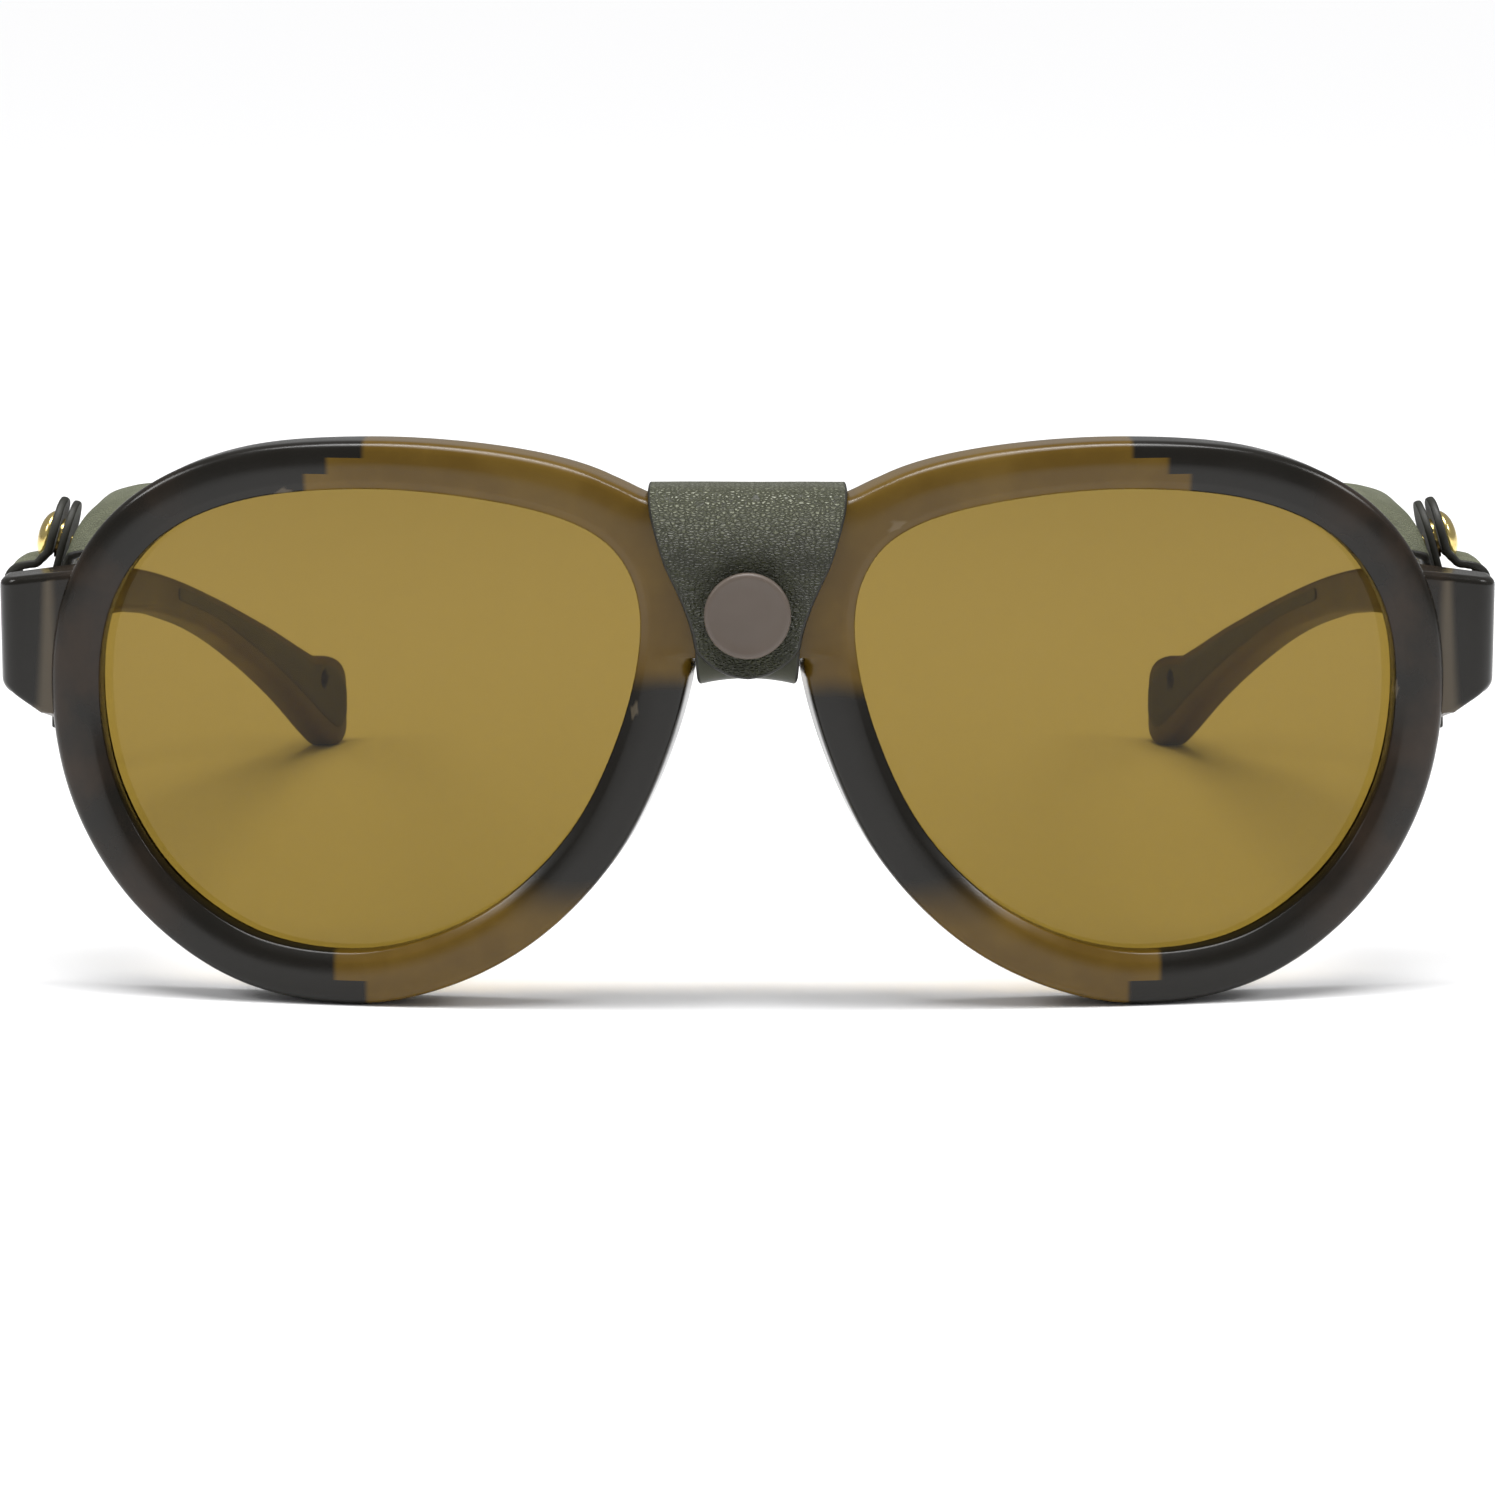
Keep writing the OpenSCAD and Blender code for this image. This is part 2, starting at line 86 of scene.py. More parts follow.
def curve(points, steps, closed=False):
    """A smooth curve through the points, which may have two or three coordinates."""
    pts = [Vector(p) for p in points]
    n = len(pts)
    if not closed:
        pts = [2 * pts[0] - pts[1]] + pts + [2 * pts[-1] - pts[-2]]
    out = []
    for i in range(n if closed else n - 1):
        a, b, c, d = (pts[(i + k - 1) % n] if closed else pts[i + k] for k in range(4))
        for k in range(steps):
            t = k / steps
            out.append(0.5 * (2 * b + (c - a) * t + (2 * a - 5 * b + 4 * c - d) * t * t
                              + (3 * b - a - 3 * c + d) * t ** 3))
    return out if closed else out + [Vector(points[-1])]


def evenly(points, count, closed=False):
    """The same line, in count points an equal distance apart."""
    line = points + [points[0]] if closed else points
    at = [0]
    for a, b in zip(line, line[1:]):
        at.append(at[-1] + (b - a).length)
    out, k = [], 0
    for i in range(count):
        s = at[-1] * i / (count if closed else count - 1)
        while k < len(at) - 2 and at[k + 1] < s:
            k += 1
        out.append(line[k].lerp(line[k + 1], (s - at[k]) / max(at[k + 1] - at[k], 1e-9)))
    return out


def face_depth(x):
    return wrap_r - math.sqrt(wrap_r ** 2 - x ** 2)


def eye_spot(u, w, depth):
    """A place in one eye's turned frame, at a depth behind the curved face."""
    x = eye_x + u * math.cos(eye_turn)
    for _ in range(5):
        v = (face_depth(x) + depth - face_depth(eye_x) - u * math.sin(eye_turn)) / math.cos(eye_turn)
        x = eye_x + u * math.cos(eye_turn) - v * math.sin(eye_turn)
    return Vector((x, face_depth(x) + depth, eye_z + w))


def rim_section(w):
    """From the back of the opening forwards, over the face and back round the outside."""
    return [
        (1.5, 6), (1.05, 5.92), (0.75, 5.7), (0.62, 5.4), (0.62, 5.1), (0.82, 5.02), (0.82, 3.02),
        (0.03, 2.97), (0, 2.9), (0, 1.1), (0.03, 0.96), (0.1, 0.86), (0.2, 0.78), (0.5, 0.56),
        (0.8, 0.34), (0.92, 0.27), (1.1, 0.21), (1.5, 0.15),
        (0.4 * w, 0.07), (0.5 * w, 0.05), (0.6 * w, 0.07), (w - 1.4, 0.15), (w - 0.95, 0.22),
        (w - 0.66, 0.31), (w - 0.4, 0.47), (w - 0.19, 0.7), (w - 0.05, 1), (w, 1.35), (w, 2.4),
        (w, 3.9), (w, 5), (w - 0.07, 5.45), (w - 0.3, 5.8), (w - 0.7, 5.96), (w - 1.2, 6), (0.5 * w, 6)]


def piece(name, mesh_maker, material=None):
    """A named object from a bmesh, smooth all over."""
    data = bpy.data.meshes.new(name)
    for face in mesh_maker.faces:
        face.smooth = True
    mesh_maker.to_mesh(data)
    mesh_maker.free()
    made = bpy.data.objects.new(name, data)
    bpy.context.scene.collection.objects.link(made)
    if material:
        data.materials.append(material)
    return made


def put(tree, kind, inputs=None, **settings):
    """A shader node with its settings, and its inputs as values or as links."""
    made = tree.nodes.new("ShaderNode" + kind)
    for key, value in settings.items():
        setattr(made, key, value)
    for key, value in (inputs or {}).items():
        if isinstance(value, bpy.types.NodeSocket):
            tree.links.new(value, made.inputs[key])
        else:
            made.inputs[key].default_value = value
    return made


def maths(tree, operation, a, b=0.0):
    return put(tree, "Math", {0: a, 1: b}, operation=operation).outputs[0]


def ramp(tree, value, low, high, to=(0.0, 1.0)):
    return put(tree, "MapRange", {"Value": value, "From Min": low, "From Max": high,
                                  "To Min": to[0], "To Max": to[1]},
               interpolation_type="SMOOTHSTEP").outputs["Result"]


def blend_colour(tree, fac, a, b):
    mix = put(tree, "Mix", {0: fac}, data_type="RGBA")
    for socket, value in ((mix.inputs[6], a), (mix.inputs[7], b)):
        if isinstance(value, bpy.types.NodeSocket):
            tree.links.new(value, socket)
        else:
            socket.default_value = value
    return mix.outputs[2]


def colour(code):
    """A linear colour from the usual six figures."""
    parts = [int(code[i:i + 2], 16) / 255 for i in (0, 2, 4)]
    return tuple(p / 12.92 if p <= 0.04045 else ((p + 0.055) / 1.055) ** 2.4 for p in parts) + (1.0,)


def finish(name, **plain):
    """A material with one Principled shader and its plain values."""
    made = bpy.data.materials.new(name)
    made.use_nodes = True
    shader = made.node_tree.nodes["Principled BSDF"]
    for key, value in plain.items():
        shader.inputs[key.replace("_", " ").title().replace("Ior", "IOR")].default_value = value
    return made, made.node_tree, shader


def effect(name, ins, outs):
    """A shader node group, with its own inputs and outputs."""
    made = bpy.data.node_groups.new(name, "ShaderNodeTree")
    for label, kind, value in ins:
        socket = made.interface.new_socket(label, in_out="INPUT", socket_type=kind)
        if value is not None:
            socket.default_value = value
    for label, kind in outs:
        made.interface.new_socket(label, in_out="OUTPUT", socket_type=kind)
    return made, made.nodes.new("NodeGroupInput").outputs, made.nodes.new("NodeGroupOutput").inputs


def use(tree, group, **values):
    made = tree.nodes.new("ShaderNodeGroup")
    made.node_tree = group
    for key, value in values.items():
        socket = made.inputs[key.replace("_", " ")]
        if isinstance(value, bpy.types.NodeSocket):
            tree.links.new(value, socket)
        else:
            socket.default_value = value
    return made.outputs


# Satin: the fine etched skin of a matt moulding, cloudy in its gloss, and a mask of its sharpest edges,
# which the materials paint paler: partly wear, partly a painted highlight. Scale is in features per metre.
satin, given, gives = effect(
    "satin", [("Vector", "NodeSocketVector", None), ("Etch Scale", "NodeSocketFloat", 5000.0),
              ("Smooth", "NodeSocketFloat", 0.3), ("Rough", "NodeSocketFloat", 0.42)],
    [("Height", "NodeSocketFloat"), ("Roughness", "NodeSocketFloat"), ("Clouds", "NodeSocketFloat"),
     ("Edge Wear And Highlight", "NodeSocketFloat")])
etch = put(satin, "TexNoise", {"Vector": given["Vector"], "Scale": given["Etch Scale"], "Detail": 3.0})
clouds = put(satin, "TexNoise", {"Vector": given["Vector"], "Scale": 140.0, "Detail": 4.0})
edge = ramp(satin, put(satin, "NewGeometry").outputs["Pointiness"], 0.53, 0.62)
smear = ramp(satin, clouds.outputs["Fac"], 0.3, 0.7)
span = maths(satin, "SUBTRACT", given["Rough"], given["Smooth"])
satin.links.new(etch.outputs["Fac"], gives["Height"])
satin.links.new(maths(satin, "ADD", given["Smooth"], maths(satin, "MULTIPLY", smear, span)),
                gives["Roughness"])
satin.links.new(smear, gives["Clouds"])
satin.links.new(edge, gives["Edge Wear And Highlight"])

# The stain: amber with near-black cast in, its joints stepped like coarse squares at
# the brows and under the eyes, and soft beside the nose.
acetate, tree, shader = finish("stained_acetate", specular_ior_level=0.28)
place = put(tree, "TexCoord").outputs["Object"]
x, _, z = put(tree, "SeparateXYZ", {0: place}).outputs
across = maths(tree, "ABSOLUTE", x)
limit = 42.6 * mm
for side_of, step_z, change in (("GREATER_THAN", 53.9, -3.5), ("GREATER_THAN", 52.3, -2.2),
                                ("LESS_THAN", 20, -2.3), ("LESS_THAN", 2.6, -3.1)):
    past = maths(tree, side_of, z, step_z * mm)
    limit = maths(tree, "ADD", limit, maths(tree, "MULTIPLY", past, change * mm))
from_step = maths(tree, "SUBTRACT", across, limit)
outer_dark = ramp(tree, from_step, -0.35 * mm, 0.35 * mm)
drift = put(tree, "TexNoise", {"Vector": place, "Scale": 70.0, "Detail": 1.0}).outputs["Fac"]
height = maths(tree, "ADD", z, maths(tree, "MULTIPLY", maths(tree, "SUBTRACT", drift, 0.5), 5 * mm))
nasal = maths(tree, "MULTIPLY", ramp(tree, height, 33.4 * mm, 30.6 * mm),
              ramp(tree, height, 7.5 * mm, 13.5 * mm))
nasal = maths(tree, "MULTIPLY", nasal, ramp(tree, across, 26 * mm, 22 * mm))
dark = maths(tree, "MAXIMUM", outer_dark, nasal)
skin = use(tree, satin, Vector=place, Smooth=0.17, Rough=0.26)
amber = blend_colour(tree, skin["Clouds"], colour("543f10"), colour("5f4917"))
# painted glow: the black turns browner in cloudy patches on the outer sides of the front, as if lit through
painted_side_glow = maths(tree, "MULTIPLY", maths(tree, "MULTIPLY", ramp(tree, across, 52 * mm, 62 * mm),
                                         ramp(tree, across, 69.5 * mm, 67.5 * mm)), skin["Clouds"])
black = blend_colour(tree, painted_side_glow, colour("15130f"), colour("2b2118"))
stain = blend_colour(tree, dark, amber, black)
# the sharp edges are painted paler: partly wear, partly a painted highlight along them
stain = blend_colour(tree, maths(tree, "MULTIPLY", skin["Edge Wear And Highlight"], 0.25), stain, colour("8a7d68"))
tree.links.new(stain, shader.inputs["Base Color"])
tree.links.new(skin["Roughness"], shader.inputs["Roughness"])
bump = put(tree, "Bump", {"Height": skin["Height"], "Strength": 0.5, "Distance": 0.0012 * mm})
tree.links.new(bump.outputs[0], shader.inputs["Normal"])

around = 260
outline = evenly(curve(opening_points, 12, True), around, True)
inner, widths = [p.xy for p in outline], [p.z for p in outline]


def to_eye(x, z):
    dx, dy = x - eye_x, face_depth(x) - face_depth(eye_x)
    return Vector((dx * math.cos(eye_turn) + dy * math.sin(eye_turn), z - eye_z))


outwards = []
for i in range(around):
    along = (inner[(i + 1) % around] - inner[i - 1]).normalized()
    outwards.append(Vector((along.y, -along.x)))
bridge = [to_eye(*p) for p in bridge_points]
middle_u = bridge[0].x


def reach(a, n, full):
    """How far the front goes on from the opening along n, and whether it ends mid-bridge."""
    crossings = []
    for p, q in zip(bridge, bridge[1:] + bridge[:1]):
        e = q - p
        det = n.x * -e.y + n.y * e.x
        if abs(det) < 1e-9:
            continue
        d = p - a
        t = (d.x * -e.y + d.y * e.x) / det
        s = (n.x * d.y - n.y * d.x) / det
        if t > full - 1e-6 and -1e-9 <= s <= 1 + 1e-9:
            crossings.append(t)
    if len(crossings) % 2 == 0:
        return full, False
    t = min(crossings)
    return max(t, full), abs((a + n * t).x - middle_u) < 0.02


bm = bmesh.new()
rings = []
for i in range(around):
    width, cut = reach(inner[i], outwards[i], widths[i])
    ring = []
    for f, depth in rim_section(width):
        p = eye_spot(*(inner[i] + outwards[i] * f), depth)
        if cut:
            p.x -= eye_spot(*(inner[i] + outwards[i] * width), depth).x * (f / width) ** 2
        ring.append(bm.verts.new(spot(*p)))
    rings.append(ring)
for i in range(around):
    a, b = rings[i], rings[(i + 1) % around]
    for j in range(len(a)):
        k = (j + 1) % len(a)
        bm.faces.new((a[j], b[j], b[k], a[k]))
bmesh.ops.delete(bm, geom=[f for f in bm.faces if all(abs(v.co.x) < 0.02 * mm for v in f.verts)],
                 context="FACES_ONLY")
half = bmesh.ops.duplicate(bm, geom=bm.verts[:] + bm.edges[:] + bm.faces[:])["geom"]
mirrored = [g for g in half if isinstance(g, bmesh.types.BMVert)]
for v in mirrored:
    v.co.x = -v.co.x
bmesh.ops.reverse_faces(bm, faces=[g for g in half if isinstance(g, bmesh.types.BMFace)])
bmesh.ops.remove_doubles(bm, verts=[v for v in bm.verts if abs(v.co.x) < 0.02 * mm], dist=0.01 * mm)
bmesh.ops.recalc_face_normals(bm, faces=bm.faces)
front = piece("front_rims", bm, acetate)
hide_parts("frame_front")
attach(front, "front")

# ---------------------------------------------------------------------------
# The end pieces: the blocks at the outer corners that turn back to the hinges,
# moulded in one with the rims and set a little behind the rims' faces.
block_set, block_corner, block_back, block_outer = 1.1, 2.4, 15.85, 73.5
block_top = [(60, 42.5), (66.4, 42), (73.5, 41)]
block_bottom = [(60, 26.9), (62, 26.9), (68.6, 27.1), (73.5, 30.3)]


def along_line(points, x):
    for (x0, z0), (x1, z1) in zip(points, points[1:]):
        if x <= x1:
            return z0 + (z1 - z0) * (x - x0) / (x1 - x0)
    return points[-1][1]


def roll_edges(bm, edges, width, segments):
    bmesh.ops.bevel(bm, geom=edges, offset=width * mm, segments=segments, profile=0.55,
                    affect="EDGES", clamp_overlap=True)


for side, sign in sides.items():
    plan = [(x, face_depth(x) + block_set) for x in (65, 66, 67.3, 68.5, 69.6, 70.5)]
    centre = (block_outer - block_corner, face_depth(71.1) + block_set + block_corner)
    plan += [(centre[0] + block_corner * math.sin(a), centre[1] - block_corner * math.cos(a))
             for a in (math.radians(10 * k + 4) for k in range(9))]
    plan += [(block_outer, y) for y in (13.8, 15, block_back)] + [(65, block_back)]
    bm = bmesh.new()
    top = [bm.verts.new(spot(sign * x, y, along_line(block_top, x))) for x, y in plan]
    low = [bm.verts.new(spot(sign * x, y, along_line(block_bottom, x))) for x, y in plan]
    count = len(plan)
    for i in range(count):
        j = (i + 1) % count
        bm.faces.new((top[i], top[j], low[j], low[i]))
    caps = [bm.faces.new(top), bm.faces.new(low[::-1])]
    bmesh.ops.recalc_face_normals(bm, faces=bm.faces)
    roll_edges(bm, [e for f in caps for e in f.edges], 0.8, 5)
    bmesh.ops.recalc_face_normals(bm, faces=bm.faces)
    block = piece(side + "_end_piece", bm, acetate)
    tidy = block.modifiers.new("even shading", "WEIGHTED_NORMAL")
    tidy.keep_sharp = True
    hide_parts("frame_front")
    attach(block, "front")

# ---------------------------------------------------------------------------
# The lenses: olive-brown tinted polycarbonate, 2 mm thick, curved with the front and
# snapped from behind into a groove round each opening, 3 mm behind its face.
lens_front, lens_back, lens_seat = 3, 5, 0.8
tint, tree, shader = finish("tinted_lens", roughness=0.0, transmission_weight=1.0, ior=1.0,
                            coat_weight=0.5, coat_ior=1.4)
place = put(tree, "TexCoord").outputs["Object"]
height = put(tree, "SeparateXYZ", {0: place}).outputs[2]
# the lens colour is darker towards the bottom
darker_towards_bottom = ramp(tree, height, 48 * mm, 8 * mm)
dye = blend_colour(tree, darker_towards_bottom, (0.231, 0.157, 0.033, 1), (0.186, 0.125, 0.0205, 1))
tree.links.new(dye, shader.inputs["Base Color"])
passing = put(tree, "BsdfTransparent", {"Color": (0.52, 0.42, 0.2, 1)})
either = put(tree, "MixShader", {0: put(tree, "LightPath").outputs["Is Shadow Ray"],
                                 1: shader.outputs[0], 2: passing.outputs[0]})
tree.links.new(either.outputs[0], tree.nodes["Material Output"].inputs["Surface"])
for side, sign in sides.items():
    bm = bmesh.new()
    shares = [1, 0.97, 0.9, 0.8, 0.66, 0.5, 0.34, 0.18]
    layers = []
    for depth in (lens_front, lens_back):
        layer = []
        for share in shares:
            layer.append([bm.verts.new(spot(sign * p.x, p.y, p.z)) for p in (
                eye_spot(*((inner[i] + outwards[i] * lens_seat) * share), depth)
                for i in range(0, around, 2))])
        centre = eye_spot(0, 0, depth)
        layer.append(bm.verts.new(spot(sign * centre.x, centre.y, centre.z)))
        layers.append(layer)
    count = around // 2
    for layer in layers:
        for a, b in zip(layer[:-2], layer[1:-1]):
            for i in range(count):
                j = (i + 1) % count
                bm.faces.new((a[i], a[j], b[j], b[i]))
        for i in range(count):
            bm.faces.new((layer[-2][i], layer[-2][(i + 1) % count], layer[-1]))
    for i in range(count):
        j = (i + 1) % count
        bm.faces.new((layers[0][0][i], layers[0][0][j], layers[1][0][j], layers[1][0][i]))
    bmesh.ops.recalc_face_normals(bm, faces=bm.faces)
    lens = piece(side + "_tinted_lens", bm, tint)
    lens.data.set_sharp_from_angle(angle=math.radians(40))
    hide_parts(side + "_lens")
    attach(lens, "front")

# ---------------------------------------------------------------------------
# The nose pads: soft black rubber, pressed on two pegs each into the backs of the
# rims. Each is a rounded pill that stands 4.6 mm off the rim.
rubber, tree, shader = finish("soft_rubber", specular_ior_level=0.25, sheen_weight=0.15)
place = put(tree, "TexCoord").outputs["Object"]
skin = use(tree, satin, Vector=place, Etch_Scale=9000.0, Smooth=0.55, Rough=0.72)
tree.links.new(blend_colour(tree, skin["Clouds"], colour("262320"), colour("35302b")),
               shader.inputs["Base Color"])
tree.links.new(skin["Roughness"], shader.inputs["Roughness"])
bump = put(tree, "Bump", {"Height": skin["Height"], "Strength": 0.5, "Distance": 0.003 * mm})
tree.links.new(bump.outputs[0], shader.inputs["Normal"])
pad_at, pad_turn, pad_r, pad_half = (8.8, 27), math.radians(18), 1.7, 3.5
pad_levels = [(0, 6.02), (0.05, 7.4), (0.02, 9), (0.12, 9.7), (0.4, 10.2), (0.8, 10.5), (1.25, 10.62)]
for side, sign in sides.items():
    bm = bmesh.new()
    rings = []
    for inset, depth in pad_levels:
        ring = []
        for k in range(40):
            a = 2 * math.pi * k / 40
            r = pad_r - inset
            px, pz = r * math.cos(a), r * math.sin(a) + math.copysign(pad_half, math.sin(a) + 1e-9)
            qx = pad_at[0] + px * math.cos(pad_turn) - pz * math.sin(pad_turn)
            qz = pad_at[1] + px * math.sin(pad_turn) + pz * math.cos(pad_turn)
            ring.append(bm.verts.new(spot(sign * qx, face_depth(qx) + depth, qz)))
        rings.append(ring)
    for a, b in zip(rings, rings[1:]):
        for i in range(40):
            j = (i + 1) % 40
            bm.faces.new((a[i], a[j], b[j], b[i]))
    bm.faces.new(rings[0])
    bm.faces.new(rings[-1])
    bmesh.ops.recalc_face_normals(bm, faces=bm.faces)
    pad = piece(side + "_pad", bm, rubber)
    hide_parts(side + "_nose_pad")
    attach(pad, "front")

# ---------------------------------------------------------------------------
# The temples: matt brown acetate bars with rolled edges. They curve down and bow in
# behind the ears, and swell to a blunt rounded tip drilled for a cord.
temple_inner, temple_t, temple_bow, hinge_y = 69.7, 3.8, 19, 16
temple_start, temple_long = 16.15, 135
temple_top = [(16.15, 40.2), (45, 37), (67, 34.2), (86, 30.4), (105, 25.2), (123, 19.2),
              (135, 14.5), (140, 12.6), (144, 12), (148, 10.5), (150.5, 7.6), (151, 4.6)]
temple_low = [(16.15, 31), (38, 31), (60, 30.1), (80.7, 27.1), (90.9, 24.9), (100.6, 22.3),
              (109.7, 19.2), (118.4, 15.6), (127, 11.5), (135, 7.1), (143, 2), (146.5, 0.05),
              (148.8, 0.15), (150.5, 1.6), (151, 4.6)]
cord_hole = (142.5, 9.4, 1.2, 17)


def bow(y):
    return temple_bow * (max(0, y - hinge_y) / temple_long) ** 2.3


def level(line, y):
    for p, q in zip(line, line[1:]):
        if y <= q.x:
            return p.y + (q.y - p.y) * (y - p.x) / max(q.x - p.x, 1e-9)
    return line[-1].y


def bar_section(half_t, half_h, corner):
    """A bar's outline in x and z, its inner face at -x: rolled corners, softest underneath."""
    out = []
    for cx, cz, start, share in ((1, 1, 0, 0.8), (-1, 1, 90, 0.6), (-1, -1, 180, 1.3), (1, -1, 270, 1)):
        c = min(corner * share, half_h * 0.8, half_t * 0.8)
        out += [(cx * (half_t - c) + c * math.cos(math.radians(start + k * 18)),
                 cz * (half_h - c) + c * math.sin(math.radians(start + k * 18))) for k in range(6)]
    return out


def carve(target, cutter):
    """Cuts one mesh out of another for good, and throws the cutter away."""
    cut = target.modifiers.new("cut", "BOOLEAN")
    cut.object, cut.solver = cutter, "EXACT"
    bpy.context.view_layer.update()
    done = bpy.data.meshes.new_from_object(target.evaluated_get(bpy.context.evaluated_depsgraph_get()))
    target.modifiers.remove(cut)
    target.data = done
    bpy.data.objects.remove(cutter)


def drill(sign):
    """A round cutter through the temple's tip."""
    y, z, r, turn = cord_hole
    bm = bmesh.new()
    bmesh.ops.create_cone(bm, cap_ends=True, segments=40, radius1=r * mm, radius2=r * mm, depth=12 * mm)
    made = piece("drill", bm)
    made.rotation_euler = (0, math.radians(90), math.radians(sign * turn))
    made.location = spot(sign * (temple_inner - bow(y) + temple_t / 2), y, z)
    return made


temple_finish, tree, shader = finish("temple_acetate", specular_ior_level=0.25)
place = put(tree, "TexCoord").outputs["Object"]
skin = use(tree, satin, Vector=place, Smooth=0.33, Rough=0.42)
depth_y = put(tree, "SeparateXYZ", {0: place}).outputs[1]
lengthways = put(tree, "Mapping", {"Vector": place, "Scale": (60, 14, 60)}).outputs[0]
streak = put(tree, "TexNoise", {"Vector": lengthways, "Scale": 1.0, "Detail": 3.0}).outputs["Fac"]
brown = blend_colour(tree, ramp(tree, streak, 0.35, 0.65), colour("413119"), colour("4f3c25"))
rear = ramp(tree, depth_y, -58 * mm, -40 * mm)
brown = blend_colour(tree, rear, colour("2b2724"), brown)
# the sharp edges are painted paler: partly wear, partly a painted highlight along them
brown = blend_colour(tree, maths(tree, "MULTIPLY", skin["Edge Wear And Highlight"], 0.2), brown, colour("96866f"))
tree.links.new(brown, shader.inputs["Base Color"])
tree.links.new(skin["Roughness"], shader.inputs["Roughness"])
bump = put(tree, "Bump", {"Height": skin["Height"], "Strength": 0.5, "Distance": 0.0012 * mm})
tree.links.new(bump.outputs[0], shader.inputs["Normal"])

top_line = curve(temple_top, 6)
low_line = curve(temple_low, 6)
tip = 150.98
stations = [temple_start + (138 - temple_start) * k / 90 for k in range(90)]
stations += [138 + (tip - 138) * math.sin(math.pi / 2 * k / 26) for k in range(27)]
for side, sign in sides.items():
    bm = bmesh.new()
    rings = []
    for y in stations:
        top, low = level(top_line, y), level(low_line, y)
        mid, half_h = (top + low) / 2, max((top - low) / 2, 0.25)
        half_t = temple_t / 2
        toward_tip = max(0, (y - 138) / (tip - 138))
        half_t *= math.sqrt(1 - 0.75 * toward_tip ** 10)
        centre = temple_inner - bow(y) + temple_t / 2
        rings.append([bm.verts.new(spot(sign * (centre + px), y, mid + pz)) for px, pz in bar_section(
            half_t, half_h, 0.85)])
    for a, b in zip(rings, rings[1:]):
        for i in range(len(a)):
            j = (i + 1) % len(a)
            bm.faces.new((a[i], a[j], b[j], b[i]))
    bm.faces.new(rings[0])
    bm.faces.new(rings[-1])
    bmesh.ops.recalc_face_normals(bm, faces=bm.faces)
    temple = piece(side + "_temple_bar", bm, temple_finish)
    carve(temple, drill(sign))
    temple.data.set_sharp_from_angle(angle=math.radians(50))
    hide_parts(side + "_temple")
    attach(temple, side + "_temple")


# The grips: a rubber inlay along the upper inner face of each temple's tip, a hair
# proud of it, with rounded borders.
def thick_sheet(name, grid, thickness, materials, uv=None, edge_out=0.5, back=1):
    """A sheet from rows of outer points, closed behind with rolled edges all round.

    Its faces get material 0 outside, 1 on the edges and 2 on the back."""
    rows, cols = len(grid), len(grid[0])
    normal = []
    for r in range(rows):
        line = []
        for c in range(cols):
            down = grid[min(r + 1, rows - 1)][c] - grid[max(r - 1, 0)][c]
            right = grid[r][min(c + 1, cols - 1)] - grid[r][max(c - 1, 0)]
            line.append(down.cross(right).normalized() * back)
        normal.append(line)
    bm = bmesh.new()
    uv_layer = bm.loops.layers.uv.new("surface")
    where = {}

    def vert(p, at):
        made = bm.verts.new(p)
        where[made] = at
        return made

    uv = uv or [[(c, r) for c in range(cols)] for r in range(rows)]
    outer = [[vert(grid[r][c], uv[r][c]) for c in range(cols)] for r in range(rows)]
    inner = [[vert(grid[r][c] - normal[r][c] * thickness, uv[r][c]) for c in range(cols)]
             for r in range(rows)]
    quads = []
    for r in range(rows - 1):
        for c in range(cols - 1):
            quads.append((outer[r][c], outer[r][c + 1], outer[r + 1][c + 1], outer[r + 1][c], 0))
            quads.append((inner[r][c], inner[r + 1][c], inner[r + 1][c + 1], inner[r][c + 1], 2))
    border = [(0, c) for c in range(cols)] + [(r, cols - 1) for r in range(1, rows)]
    border += [(rows - 1, c) for c in range(cols - 2, -1, -1)] + [(r, 0) for r in range(rows - 2, 0, -1)]
    arcs = []
    n = len(border)
    for i, (r, c) in enumerate(border):
        before, after = border[i - 1], border[(i + 1) % n]
        along = (grid[after[0]][after[1]] - grid[before[0]][before[1]]).normalized()
        out = along.cross(normal[r][c]).normalized()
        inside = grid[min(max(r, 1), rows - 2)][min(max(c, 1), cols - 2)]
        if out.dot(grid[r][c] - inside) < 0:
            out = -out
        core = grid[r][c] - normal[r][c] * thickness / 2
        arc = [outer[r][c]]
        for k in range(1, 6):
            a = math.pi * k / 6
            arc.append(vert(core + normal[r][c] * thickness / 2 * math.cos(a)
                            + out * thickness * edge_out * math.sin(a), uv[r][c]))
        arcs.append(arc + [inner[r][c]])
    for i in range(n):
        a, b = arcs[i], arcs[(i + 1) % n]
        for k in range(6):
            quads.append((a[k], a[k + 1], b[k + 1], b[k], 1))
    for *corners, number in quads:
        face = bm.faces.new(corners)
        face.material_index = min(number, len(materials) - 1)
        for loop in face.loops:
            loop[uv_layer].uv = where[loop.vert]
    bmesh.ops.recalc_face_normals(bm, faces=bm.faces)
    made = piece(name, bm)
    for material in materials:
        made.data.materials.append(material)
    return made


